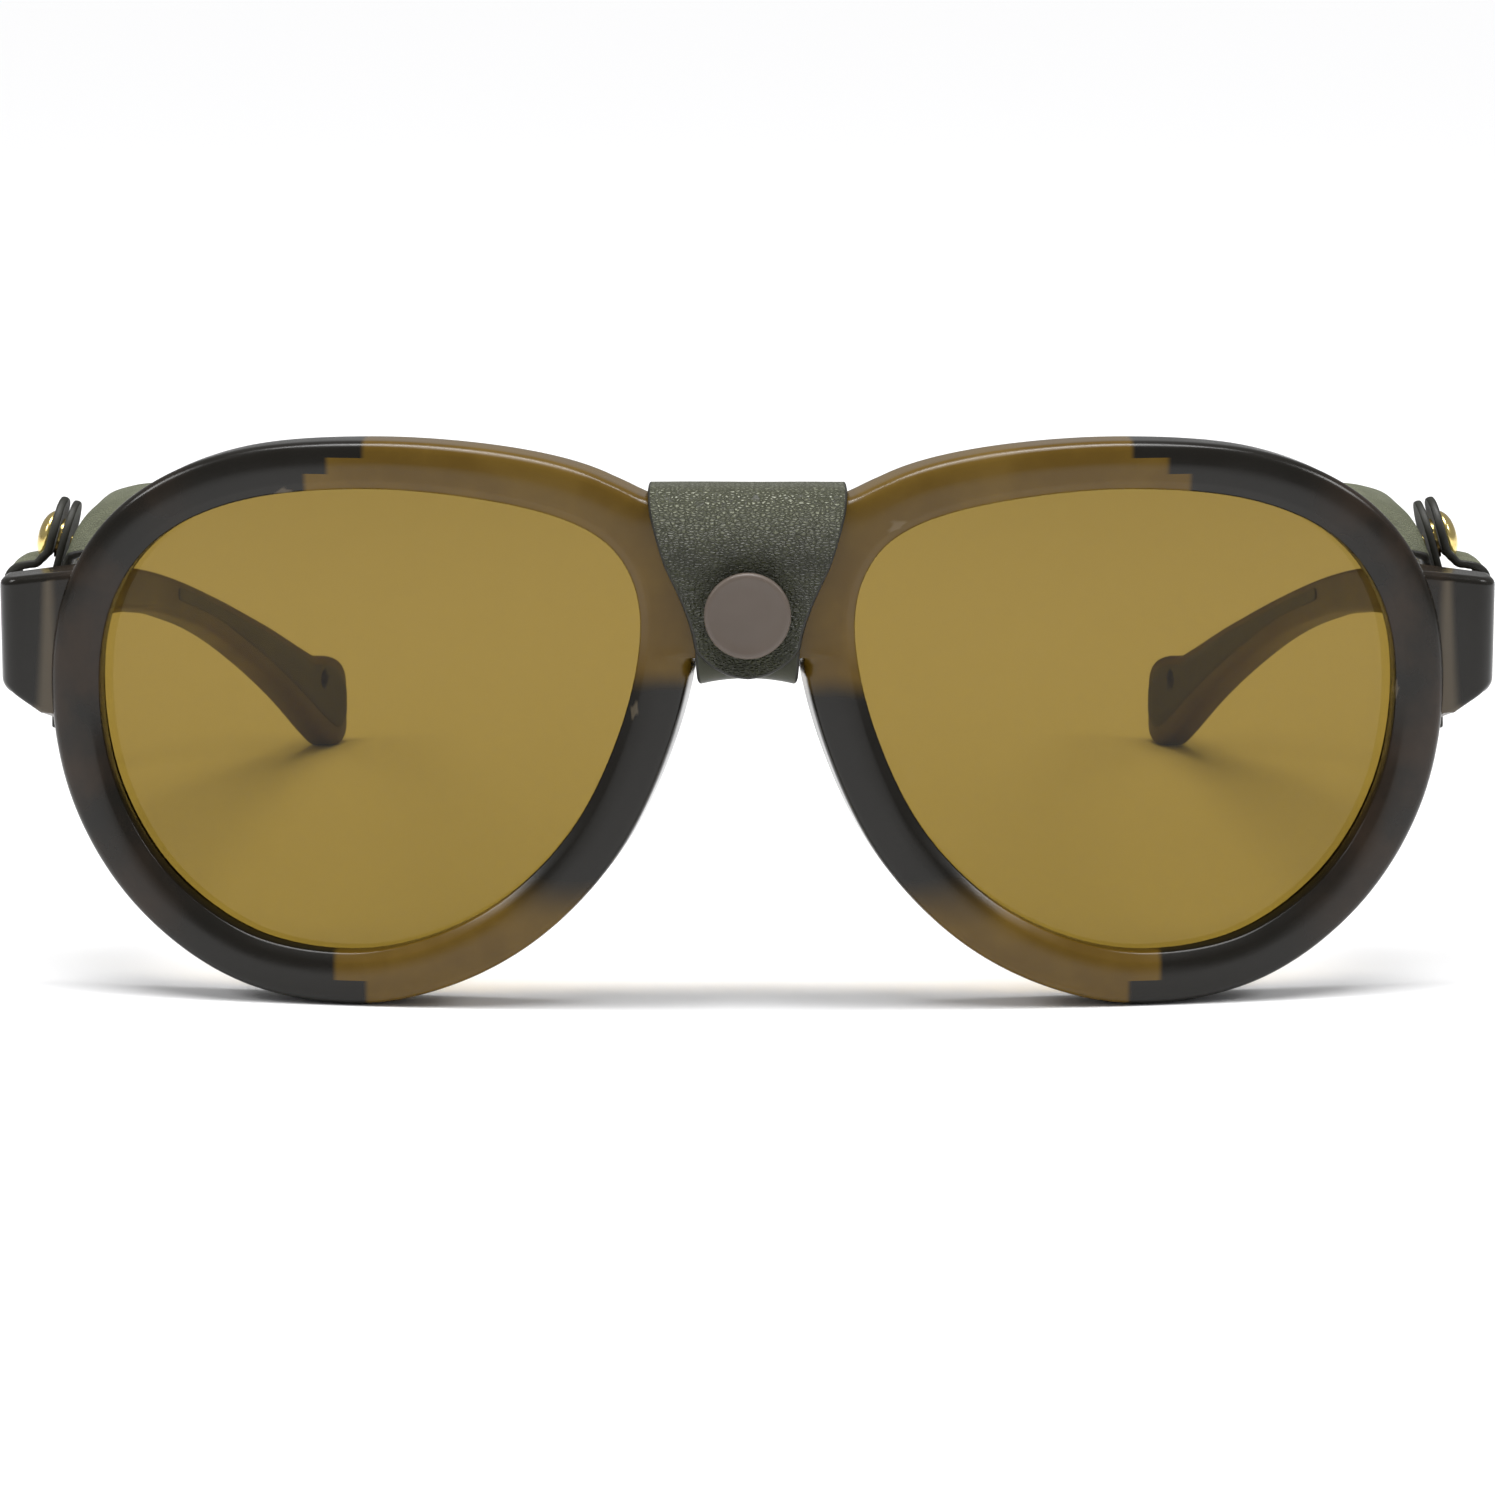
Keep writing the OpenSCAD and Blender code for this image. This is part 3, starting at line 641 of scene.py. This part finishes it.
grip_proud, grip_t = 0.1, 0.7
grip_line = curve([(88.6, 28), (89.2, 27.3), (103.5, 23.2), (114.5, 18.9), (125, 14.2), (135, 8.9),
                   (143, 4.1), (147, 2.4), (149.2, 4)], 8)
grip_top = curve([(88.6, 28.6), (89.2, 28.7), (96, 26.9), (105, 24.2), (122.5, 18.4), (134, 13.9),
                  (139.4, 11.6), (143, 11), (147.4, 9.3), (149.2, 6.6)], 8)
for side, sign in sides.items():
    rows = []
    for y in [88.6 + (149.1 - 88.6) * k / 80 for k in range(81)]:
        low, high = level(grip_line, y), level(grip_top, y)
        rows.append([spot(sign * (temple_inner - bow(y) - grip_proud), y, low + (high - low) * c / 6)
                     for c in range(7)])
    grip = thick_sheet(side + "_grip", rows, grip_t * mm, [rubber], edge_out=0.1, back=-sign)
    carve(grip, drill(sign))
    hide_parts(side + "_temple_grip")
    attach(grip, side + "_temple")

# ---------------------------------------------------------------------------
# The hinges: three-knuckle nickel-silver barrels, their leaves let into the acetate,
# each turning on a slotted screw put in from above.
worn_metal, given, gives = effect(
    "worn_metal", [("Vector", "NodeSocketVector", None),
                   ("Metal", "NodeSocketColor", (0.6, 0.57, 0.5, 1)),
                   ("Tarnish", "NodeSocketColor", (0.3, 0.27, 0.22, 1)),
                   ("Smooth", "NodeSocketFloat", 0.2)],
    [("Color", "NodeSocketColor"), ("Roughness", "NodeSocketFloat"), ("Height", "NodeSocketFloat")])
blotch = put(worn_metal, "TexNoise", {"Vector": given["Vector"], "Scale": 700.0, "Detail": 4.0}
             ).outputs["Fac"]
brush_marks = put(worn_metal, "Mapping", {"Vector": given["Vector"], "Scale": (9000, 9000, 900)})
scratch = put(worn_metal, "TexNoise", {"Vector": brush_marks.outputs[0], "Scale": 1.0, "Detail": 2.0}
              ).outputs["Fac"]
worn_metal.links.new(blend_colour(worn_metal, ramp(worn_metal, blotch, 0.55, 0.75), given["Metal"],
                                  given["Tarnish"]), gives["Color"])
worn_metal.links.new(maths(worn_metal, "ADD", given["Smooth"], maths(worn_metal, "MULTIPLY", blotch, 0.2)),
                     gives["Roughness"])
worn_metal.links.new(scratch, gives["Height"])


def metal(name, bright, dull, smooth):
    made, tree, shader = finish(name, metallic=1.0)
    place = put(tree, "TexCoord").outputs["Object"]
    look = use(tree, worn_metal, Vector=place, Metal=bright, Tarnish=dull, Smooth=smooth)
    tree.links.new(look["Color"], shader.inputs["Base Color"])
    tree.links.new(look["Roughness"], shader.inputs["Roughness"])
    bump = put(tree, "Bump", {"Height": look["Height"], "Strength": 0.1, "Distance": 0.01 * mm})
    tree.links.new(bump.outputs[0], shader.inputs["Normal"])
    return made


def dress(node, material, edge=0.08):
    """A CAD part keeps its shape and gets its metal, with its corners just broken."""
    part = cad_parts[node]
    if part.data.materials:
        for k in range(len(part.data.materials)):
            part.data.materials[k] = material
    else:
        part.data.materials.append(material)
    corners = part.modifiers.new("broken corners", "BEVEL")
    corners.width, corners.segments = edge * mm, 2
    corners.limit_method, corners.angle_limit = "ANGLE", math.radians(40)
    corners.harden_normals = True


nickel = metal("nickel_silver", colour("b9b4a8"), colour("77726a"), 0.22)
for side in sides:
    for part in ("hinge_front_leaf", "hinge_temple_leaf", "hinge_screw"):
        dress(side + "_" + part, nickel)

# ---------------------------------------------------------------------------
# The bridge leather: olive pebbled leather. One piece comes up the back of the bridge,
# folds over its top and hangs in front as the flap; a narrower one is glued under it
# and holds the stud. Its cut edges are painted dark.
hide_grain, given, gives = effect(
    "hide_grain", [("Vector", "NodeSocketVector", None), ("Pebble Scale", "NodeSocketFloat", 1.0),
                   ("Stretch", "NodeSocketVector", (2.1, 4.0, 1.0))],
    [("Height", "NodeSocketFloat"), ("Crease Shade", "NodeSocketFloat"), ("Blush", "NodeSocketFloat")])
shaken = put(hide_grain, "TexNoise", {"Vector": given["Vector"], "Scale": 0.9, "Detail": 2.0})
shift = put(hide_grain, "VectorMath", {0: shaken.outputs["Color"], "Scale": 0.5}, operation="SCALE")
pushed = put(hide_grain, "VectorMath", {0: given["Vector"], 1: shift.outputs[0]}, operation="ADD")
sized = put(hide_grain, "VectorMath", {0: pushed.outputs[0], 1: given["Stretch"]},
            operation="MULTIPLY").outputs[0]
cells = put(hide_grain, "TexVoronoi", {"Vector": sized, "Scale": given["Pebble Scale"],
                                       "Randomness": 0.9},
            feature="DISTANCE_TO_EDGE").outputs["Distance"]
fine = put(hide_grain, "TexNoise", {"Vector": sized, "Scale": 3.0, "Detail": 3.0}).outputs["Fac"]
domes = ramp(hide_grain, cells, 0.0, 0.32)
hide_grain.links.new(maths(hide_grain, "ADD", domes, maths(hide_grain, "MULTIPLY", fine, 0.35)),
                     gives["Height"])
hide_grain.links.new(ramp(hide_grain, cells, 0.12, 0.0), gives["Crease Shade"])
hide_grain.links.new(put(hide_grain, "TexNoise", {"Vector": given["Vector"], "Scale": 0.35, "Detail": 3.0}
                         ).outputs["Fac"], gives["Blush"])


def hide(name, dark, light, crease_shade, bump_depth=0.09, gloss=(0.36, 0.5), lit_heights=None):
    """Pebbled leather, its colour uneven, with painted shade in the creases between the pebbles. Its UVs
    are in mm.

    Between the two given heights it is painted paler, a painted lit band where it bends over the top, with
    painted glints on its pebble tops."""
    made, tree, shader = finish(name, specular_ior_level=0.4)
    uv = put(tree, "UVMap", uv_map="surface").outputs["UV"]
    grain = use(tree, hide_grain, Vector=uv)
    body = blend_colour(tree, ramp(tree, grain["Blush"], 0.35, 0.65), dark, light)
    if lit_heights:
        level_z = put(tree, "SeparateXYZ", {0: put(tree, "TexCoord").outputs["Object"]}).outputs[2]
        # painted light: a paler band over the bend, and painted glints on the pebble tops there
        painted_lit_band = ramp(tree, level_z, lit_heights[0] * mm, lit_heights[1] * mm)
        body = blend_colour(tree, maths(tree, "MULTIPLY", painted_lit_band, 0.7), body, colour("555743"))
        painted_glints = maths(tree, "MULTIPLY", painted_lit_band, ramp(tree, grain["Height"], 1.1, 1.26, (0, 0.6)))
        body = blend_colour(tree, painted_glints, body, colour("b4b6a2"))
    # painted shade: the creases between the pebbles are darkened
    body = blend_colour(tree, maths(tree, "MULTIPLY", grain["Crease Shade"], 0.7), body, crease_shade)
    tree.links.new(body, shader.inputs["Base Color"])
    tree.links.new(ramp(tree, grain["Height"], 0.2, 1.2, (gloss[1], gloss[0])), shader.inputs["Roughness"])
    bump = put(tree, "Bump", {"Height": grain["Height"], "Strength": 1.0, "Distance": bump_depth * mm})
    tree.links.new(bump.outputs[0], shader.inputs["Normal"])
    return made


# its bend over the bridge top gets the painted lit band and glints
olive = hide("olive_leather", colour("22240e"), colour("2e3019"), colour("10110a"), 0.12, (0.3, 0.46),
             lit_heights=(44.5, 49.6))

edge_paint, tree, shader = finish("edge_paint", specular_ior_level=0.4)
place = put(tree, "TexCoord").outputs["Object"]
skin = use(tree, satin, Vector=place, Etch_Scale=2600.0, Smooth=0.42, Rough=0.6)
tree.links.new(blend_colour(tree, skin["Clouds"], colour("15140f"), colour("24241d")),
               shader.inputs["Base Color"])
tree.links.new(skin["Roughness"], shader.inputs["Roughness"])
bump = put(tree, "Bump", {"Height": skin["Height"], "Strength": 0.3, "Distance": 0.05 * mm})
tree.links.new(bump.outputs[0], shader.inputs["Normal"])

lining, tree, shader = finish("suede_lining", specular_ior_level=0.15, sheen_weight=0.4)
place = put(tree, "TexCoord").outputs["Object"]
nap = put(tree, "TexNoise", {"Vector": place, "Scale": 9000.0, "Detail": 4.0}).outputs["Fac"]
brushed = put(tree, "TexNoise", {"Vector": place, "Scale": 260.0, "Detail": 3.0}).outputs["Fac"]
shade = blend_colour(tree, ramp(tree, brushed, 0.35, 0.65), colour("25261f"), colour("34352b"))
tree.links.new(blend_colour(tree, maths(tree, "MULTIPLY", nap, 0.4), shade, colour("4a4b3c")),
               shader.inputs["Base Color"])
tree.links.new(ramp(tree, nap, 0.3, 0.7, (0.8, 0.95)), shader.inputs["Roughness"])
bump = put(tree, "Bump", {"Height": nap, "Strength": 0.4, "Distance": 0.06 * mm})
tree.links.new(bump.outputs[0], shader.inputs["Normal"])

wrap_t = 1.1
leather_side = curve([(51.2, 9.55), (49.3, 9.4), (46.8, 8.8), (44.1, 7.95), (41.8, 6.85), (39.2, 5.75),
                      (37.1, 5.15), (35.2, 5.0), (33, 4.95)], 4)[::-1]
snap_z, flap_end_r = 39.5, 6
cap_r = 4.15


def half_width(z, end_arc=False):
    half = level(leather_side, min(max(z, 33), 51.2))
    if end_arc and z < snap_z:
        half = min(half, math.sqrt(max(flap_end_r ** 2 - (snap_z - z) ** 2, 0.04)))
    return half


def leather_strip(name, path, width_at, materials, relief, cols, back=1):
    """A strip of leather along a path of (y, z), its outer face on the path."""
    inset = 0.25
    rows, marks, run = [], [], 0
    for i, p in enumerate(path):
        if i:
            run += (p - path[i - 1]).length
        half = max(width_at(i, p) - inset, 0.12)
        line, mark = [], []
        for c in range(cols):
            x = half * (2 * c / (cols - 1) - 1)
            line.append(spot(x, *relief(x, p.x, p.y, half)))
            mark.append((x, run))
        rows.append(line)
        marks.append(mark)
    return thick_sheet(name, rows, wrap_t * mm, materials, marks, edge_out=inset / wrap_t, back=back)


# The outer face, from the bottom of the back, over the fold and down to the round end
flap_face = -2.85
back_and_flap = evenly(curve([
    (7.35, 35.5), (7.35, 40), (7.35, 45), (7.3, 48.8), (7.0, 50.3), (6.0, 51.2), (4.2, 51.4),
    (2, 51.42), (0.2, 51.38), (-1.2, 50.95), (-2.1, 49.85), (-2.6, 48.3), (-2.8, 46.4), (-2.85, 44),
    (-2.85, 41.5), (-2.85, 38), (-2.85, 35.5), (-2.85, 33.5)], 10), 120)


def flap_relief(x, y, z, half):
    if y < -1:
        r = math.hypot(x, z - snap_z)
        dent = 0.22 * math.exp(-((r - cap_r) / 1.1) ** 2)
        belly = 0.1 * math.sin(math.pi * min(max((z - 43) / 7, 0), 1))
        curl = 0.16 * abs(x / max(half, 1)) ** 4 * min(max((z - 42) / 6, 0), 1)
        y += dent - belly + curl
    wave = noise.noise(Vector((x * 0.16, y * 0.2 + 7, z * 0.16)))
    return y + (0.12 * wave if y < -1 or y > 7 else 0), z + (0.1 * wave if -1 <= y <= 7 else 0)


# closer rows where the end rounds off
last = [Vector((flap_face, snap_z - flap_end_r * math.sin(math.radians(a))))
        for a in (66, 70, 74, 78, 81, 84, 86.5, 88.5)]
body_rows = [p for p in back_and_flap if not (p.x < -2 and p.y < last[0].y + 0.2)]
flap = leather_strip("bridge_leather", body_rows + last,
                     lambda i, p: half_width(p.y, end_arc=p.x < -1), [olive, edge_paint, lining],
                     relief=flap_relief, cols=33)
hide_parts("bridge_flap")
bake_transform(flap)

under_path = evenly(curve([
    (-1.15, 45.2), (-1.15, 42), (-1.15, 38), (-1.15, 35), (-0.9, 33.9), (0.1, 33.5), (3, 33.5),
    (6, 33.6), (7.0, 34.2), (7.3, 35.1), (7.3, 36.2)], 10), 70)


def under_relief(x, y, z, half):
    # the hem bows up in the middle, so the corners hang lowest
    arch = 0.55 * (1 - (x / max(half, 1)) ** 2) * min(max((36.4 - z) / 2, 0), 1) * (1 if y < 3 else 0.4)
    return y, z + arch


under = leather_strip("bridge_underlay", under_path,
                      lambda i, p: half_width(p.y) - (0.35 if p.x > 6 else 0.02),
                      [olive, edge_paint, lining], relief=under_relief, cols=21, back=-1)
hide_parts("bridge_cover")
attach(under, "front")


# ---------------------------------------------------------------------------
# The bridge snap: a flat enamelled cap with a rolled rim, riveted through the flap to a
# steel socket that clicks over the stud on the underlay.
def turned(name, profile, origin, axis, up, material, segments=64):
    """A turned part from (radius, height) pairs, on an axis, closed at both ends."""
    axis, up = axis.normalized(), up.normalized()
    third = axis.cross(up)
    bm = bmesh.new()
    rings = []
    for r, h in profile:
        rings.append([bm.verts.new(origin + axis * h * mm
                                   + (up * math.cos(t) + third * math.sin(t)) * r * mm)
                      for t in (2 * math.pi * k / segments for k in range(segments))])
    for a, b in zip(rings, rings[1:]):
        for i in range(segments):
            j = (i + 1) % segments
            bm.faces.new((a[i], a[j], b[j], b[i]))
    bm.faces.new(rings[0])
    bm.faces.new(rings[-1])
    bmesh.ops.recalc_face_normals(bm, faces=bm.faces)
    return piece(name, bm, material)


enamel, tree, shader = finish("cap_enamel", specular_ior_level=0.4, coat_weight=0.0)
place = put(tree, "TexCoord").outputs["Object"]
skin = use(tree, satin, Vector=place, Etch_Scale=7000.0, Smooth=0.36, Rough=0.46)
shade = blend_colour(tree, skin["Clouds"], colour("544a42"), colour("5b5149"))
# painted highlight: the cap's rolled rim is painted pale all round
tree.links.new(blend_colour(tree, maths(tree, "MULTIPLY", skin["Edge Wear And Highlight"], 0.6), shade, colour("a39a8e")),
               shader.inputs["Base Color"])
tree.links.new(skin["Roughness"], shader.inputs["Roughness"])
bump = put(tree, "Bump", {"Height": skin["Height"], "Strength": 0.08, "Distance": 0.02 * mm})
tree.links.new(bump.outputs[0], shader.inputs["Normal"])
cap = turned("bridge_cap", [(3.2, -0.25), (3.9, -0.1), (4.08, 0.1), (4.15, 0.35), (4.15, 0.6), (4.1, 0.76),
                            (3.99, 0.88), (3.85, 0.95), (3.7, 0.975), (3.55, 0.96), (3.3, 0.9),
                            (2.4, 0.9), (1.2, 0.9), (0.2, 0.9)],
             spot(0, flap_face, snap_z), Vector((0, -1, 0)), Vector((0, 0, 1)), enamel, 96)
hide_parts("bridge_snap_cap")
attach(cap, "bridge_flap")
steel = metal("snap_steel", colour("a39e94"), colour("6d685f"), 0.24)
for part in ("bridge_snap_socket", "bridge_snap_stud", "bridge_snap_post"):
    dress(part, steel, 0.05)

# ---------------------------------------------------------------------------
# The side shields: a curved panel of green-grey leather on each temple that closes the
# gap beside the eye, edge-painted all round and notched for the hinge.
sage = hide("sage_leather", colour("5c5f4a"), colour("676a54"), colour("484b3a"), 0.07, (0.42, 0.58))
panel_line = evenly(curve([
    (67, 18), (68.6, 24), (69.2, 30), (69.2, 36), (68.75, 40.5), (67.2, 44.6), (65, 47), (62, 48.3),
    (58.6, 49.2)], 8), 72)
panel_fore = [(18, 19.4), (18.5, 17.3), (19.4, 16), (20.8, 15.2), (22.6, 14.9), (24.6, 14.9),
              (25.6, 15.1), (28.8, 20.2), (30, 21.2), (41.6, 21.2), (42.4, 20), (43.2, 15.6),
              (44.2, 14.9), (51, 14.9)]
panel_rear = curve([(17, 22.4), (20, 30.6), (27, 36.0), (35, 37.6), (43, 35.2), (46.4, 31.4), (48.2, 27.2),
                    (49.2, 22.5), (50, 19)], 8)
panel_t = 1
# how far the front edge tucks in behind the rim, by height
panel_tuck = [(17, 0.8), (22, 1.6), (27, 1.6), (29, 0), (41, 0), (42.4, 2.6), (45.3, 3.3), (47.4, 3.1),
              (48.9, 0.7), (51, 0)]
for side, sign in sides.items():
    rows, marks, run = [], [], 0
    for i, p in enumerate(panel_line):
        if i:
            run += (p - panel_line[i - 1]).length
        fore, rear = along_line(panel_fore, p.y), level(panel_rear, p.y)
        tuck = along_line(panel_tuck, p.y)
        line, mark = [], []
        for c in range(27):
            y = fore + (rear - fore) * c / 26
            sway = 0.14 * noise.noise(Vector((y * 0.13, p.y * 0.11, 3.3)))
            inwards = tuck * max(0, (23 - y) / 8) ** 2
            line.append(spot(sign * (p.x + sway - inwards), y, p.y))
            mark.append((y, run))
        rows.append(line)
        marks.append(mark)
    shield = thick_sheet(side + "_shield", rows, panel_t * mm, [sage, edge_paint, lining], marks, 0.3,
                         back=-sign)
    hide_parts(side + "_side_shield")
    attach(shield, side + "_temple")
    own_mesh(shield)

# The straps: from the panel's foot each passes under the temple, comes up outside it,
# arches over and ends in a round tab that snaps to the patch on the panel.
strap_y, strap_half, strap_t = 26, 4, 0.8
lean = math.radians(15.7)
foot = Vector((68.9, 40.5))
lean_out, lean_up = Vector((math.cos(lean), math.sin(lean))), Vector((-math.sin(lean), math.cos(lean)))
snap_up, tab_out = 2.3, 1.7


def on_panel(out, up):
    return foot + lean_out * out + lean_up * up


strap_core = evenly(curve(
    [(69.75, 24.4), (69.8, 27.2), (70.6, 29.2), (73, 29.6), (74.3, 31.4), (74.35, 35), (74.35, 38),
     (74.15, 39.7), (73.4, 40.55), (72.2, 40.85), (71.3, 41.0), (70.75, 41.6),
     tuple(on_panel(tab_out, 1.3)), tuple(on_panel(tab_out, 2.8))], 10), 100)
strap_core += [on_panel(tab_out, snap_up + strap_half * math.sin(math.radians(a)))
               for a in (15, 24, 33, 42, 50, 58, 65, 71, 76, 80, 83.5, 86.5)]
for side, sign in sides.items():
    rows, marks, run = [], [], 0
    last_up = len(strap_core) - 12
    for i, p in enumerate(strap_core):
        ahead = strap_core[min(i + 1, len(strap_core) - 1)] - strap_core[max(i - 1, 0)]
        facing = Vector((ahead.y, -ahead.x)).normalized()
        if i:
            run += (p - strap_core[i - 1]).length
        half = strap_half
        up = (p - foot).dot(lean_up)
        if i >= last_up:
            half = math.sqrt(max(strap_half ** 2 - (up - snap_up) ** 2, 0.05))
        half = max(half - 0.2, 0.1)
        outer = p + facing * strap_t / 2
        line, mark = [], []
        for c in range(17):
            y = half * (2 * c / 16 - 1)
            pull = 0.1 * noise.noise(Vector((y * 0.3, run * 0.18, 9.1)))
            line.append(spot(sign * (outer.x + facing.x * pull), strap_y + y, outer.y + facing.y * pull))
            mark.append((y, run))
        rows.append(line)
        marks.append(mark)
    strap = thick_sheet(side + "_strap", rows, strap_t * mm, [sage, edge_paint, lining], marks, 0.25,
                        back=-sign)
    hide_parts(side + "_shield_strap", side + "_shield_tab")
    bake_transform(strap)

# The stud patches: small dark leather tongues glued to the panels under the tabs.
patch_leather = hide("black_leather", colour("1d1d19"), colour("262622"), colour("101010"), 0.06)
for side, sign in sides.items():
    rows, marks = [], []
    ups = [-0.1 + 2.4 * k / 8 for k in range(9)]
    ups += [snap_up + strap_half * math.sin(math.radians(a)) for a in range(8, 89, 6)]
    for up in ups:
        half = math.sqrt(max(strap_half ** 2 - max(up - snap_up, 0) ** 2, 0.05)) - 0.15
        p = on_panel(strap_t, up)
        rows.append([spot(sign * p.x, strap_y + max(half, 0.1) * (c / 6 - 1), p.y) for c in range(13)])
        marks.append([(half * (c / 6 - 1), up) for c in range(13)])
    patch = thick_sheet(side + "_patch", rows, 0.7 * mm, [patch_leather, edge_paint, lining], marks, 0.2,
                        back=-sign)
    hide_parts(side + "_stud_patch")
    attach(patch, side + "_temple")

# The side snaps: domed brass caps on the tabs, with brass sockets, studs and rivets.
brass = metal("snap_brass", colour("e6cf86"), colour("b89a4e"), 0.1)
for side, sign in sides.items():
    out = Vector((sign * lean_out.x, 0, lean_out.y))
    centre = on_panel(strap_t + 0.5 + strap_t, snap_up)
    cap = turned(side + "_dome", [(1.6, -0.12), (2.3, -0.02), (2.47, 0.12), (2.5, 0.28), (2.44, 0.42),
                                  (2.3, 0.58), (2.1, 0.76), (1.8, 0.95), (1.4, 1.12), (0.95, 1.23),
                                  (0.5, 1.285), (0.12, 1.3)],
                 spot(sign * centre.x, strap_y, centre.y), out, Vector((0, 1, 0)), brass)
    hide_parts(side + "_snap_cap")
    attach(cap, side + "_shield_tab")
    for part in ("snap_socket", "snap_stud", "snap_post"):
        dress(side + "_" + part, brass, 0.04)

# ---------------------------------------------------------------------------
# The studio: a white floor, a broad soft sun from above in front, a strip of light over the brows, and the
# camera a little above the glasses.
bm = bmesh.new()
bmesh.ops.create_grid(bm, x_segments=8, y_segments=8, size=30)
floor_paint, tree, shader = finish("floor_paint", roughness=0.9, specular_ior_level=0.1)
shader.inputs["Base Color"].default_value = (0.93, 0.93, 0.935, 1)
floor = piece("floor", bm, floor_paint)

world = bpy.data.worlds.new("studio")
bpy.context.scene.world = world
world.use_nodes = True
world.node_tree.nodes["Background"].inputs["Color"].default_value = (1, 1, 1, 1)
world.node_tree.nodes["Background"].inputs["Strength"].default_value = 0.34


def lamp(name, kind, energy, place, look_at, **settings):
    data = bpy.data.lights.new(name, kind)
    data.energy = energy
    for key, value in settings.items():
        setattr(data, key, value)
    made = bpy.data.objects.new(name, data)
    made.location = place
    made.rotation_euler = (Vector(look_at) - Vector(place)).to_track_quat("-Z", "Y").to_euler()
    bpy.context.scene.collection.objects.link(made)


lamp("overhead", "SUN", 2.35, (0, -0.12, 1.0), (0, 0, 0), angle=math.radians(40))
lamp("top_box", "AREA", 2.0, (0, -0.1, 0.6), (0, -0.07, 0.03), shape="RECTANGLE", size=0.6, size_y=0.08)
for side, sign in sides.items():
    lamp(side + "_box", "AREA", 1.2, (sign * 0.6, -0.18, 0.48), (0, -0.05, 0.03), shape="RECTANGLE",
         size=0.16, size_y=0.16)

bpy.context.scene.view_settings.view_transform = "Standard"
eye_height, eye_back, eye_lens, eye_tilt = 0.10742, 0.450, 114.43, math.radians(9.149)
camera = bpy.data.objects.new("camera", bpy.data.cameras.new("camera"))
camera.data.lens, camera.data.sensor_width = eye_lens, 36
camera.data.clip_start, camera.data.clip_end = 0.01, 100
camera.location = (0, front_plane - eye_back, eye_height)
camera.rotation_euler = (math.pi / 2 - eye_tilt, 0, 0)
camera.data.shift_y = -0.06
bpy.context.scene.collection.objects.link(camera)
bpy.context.scene.camera = camera
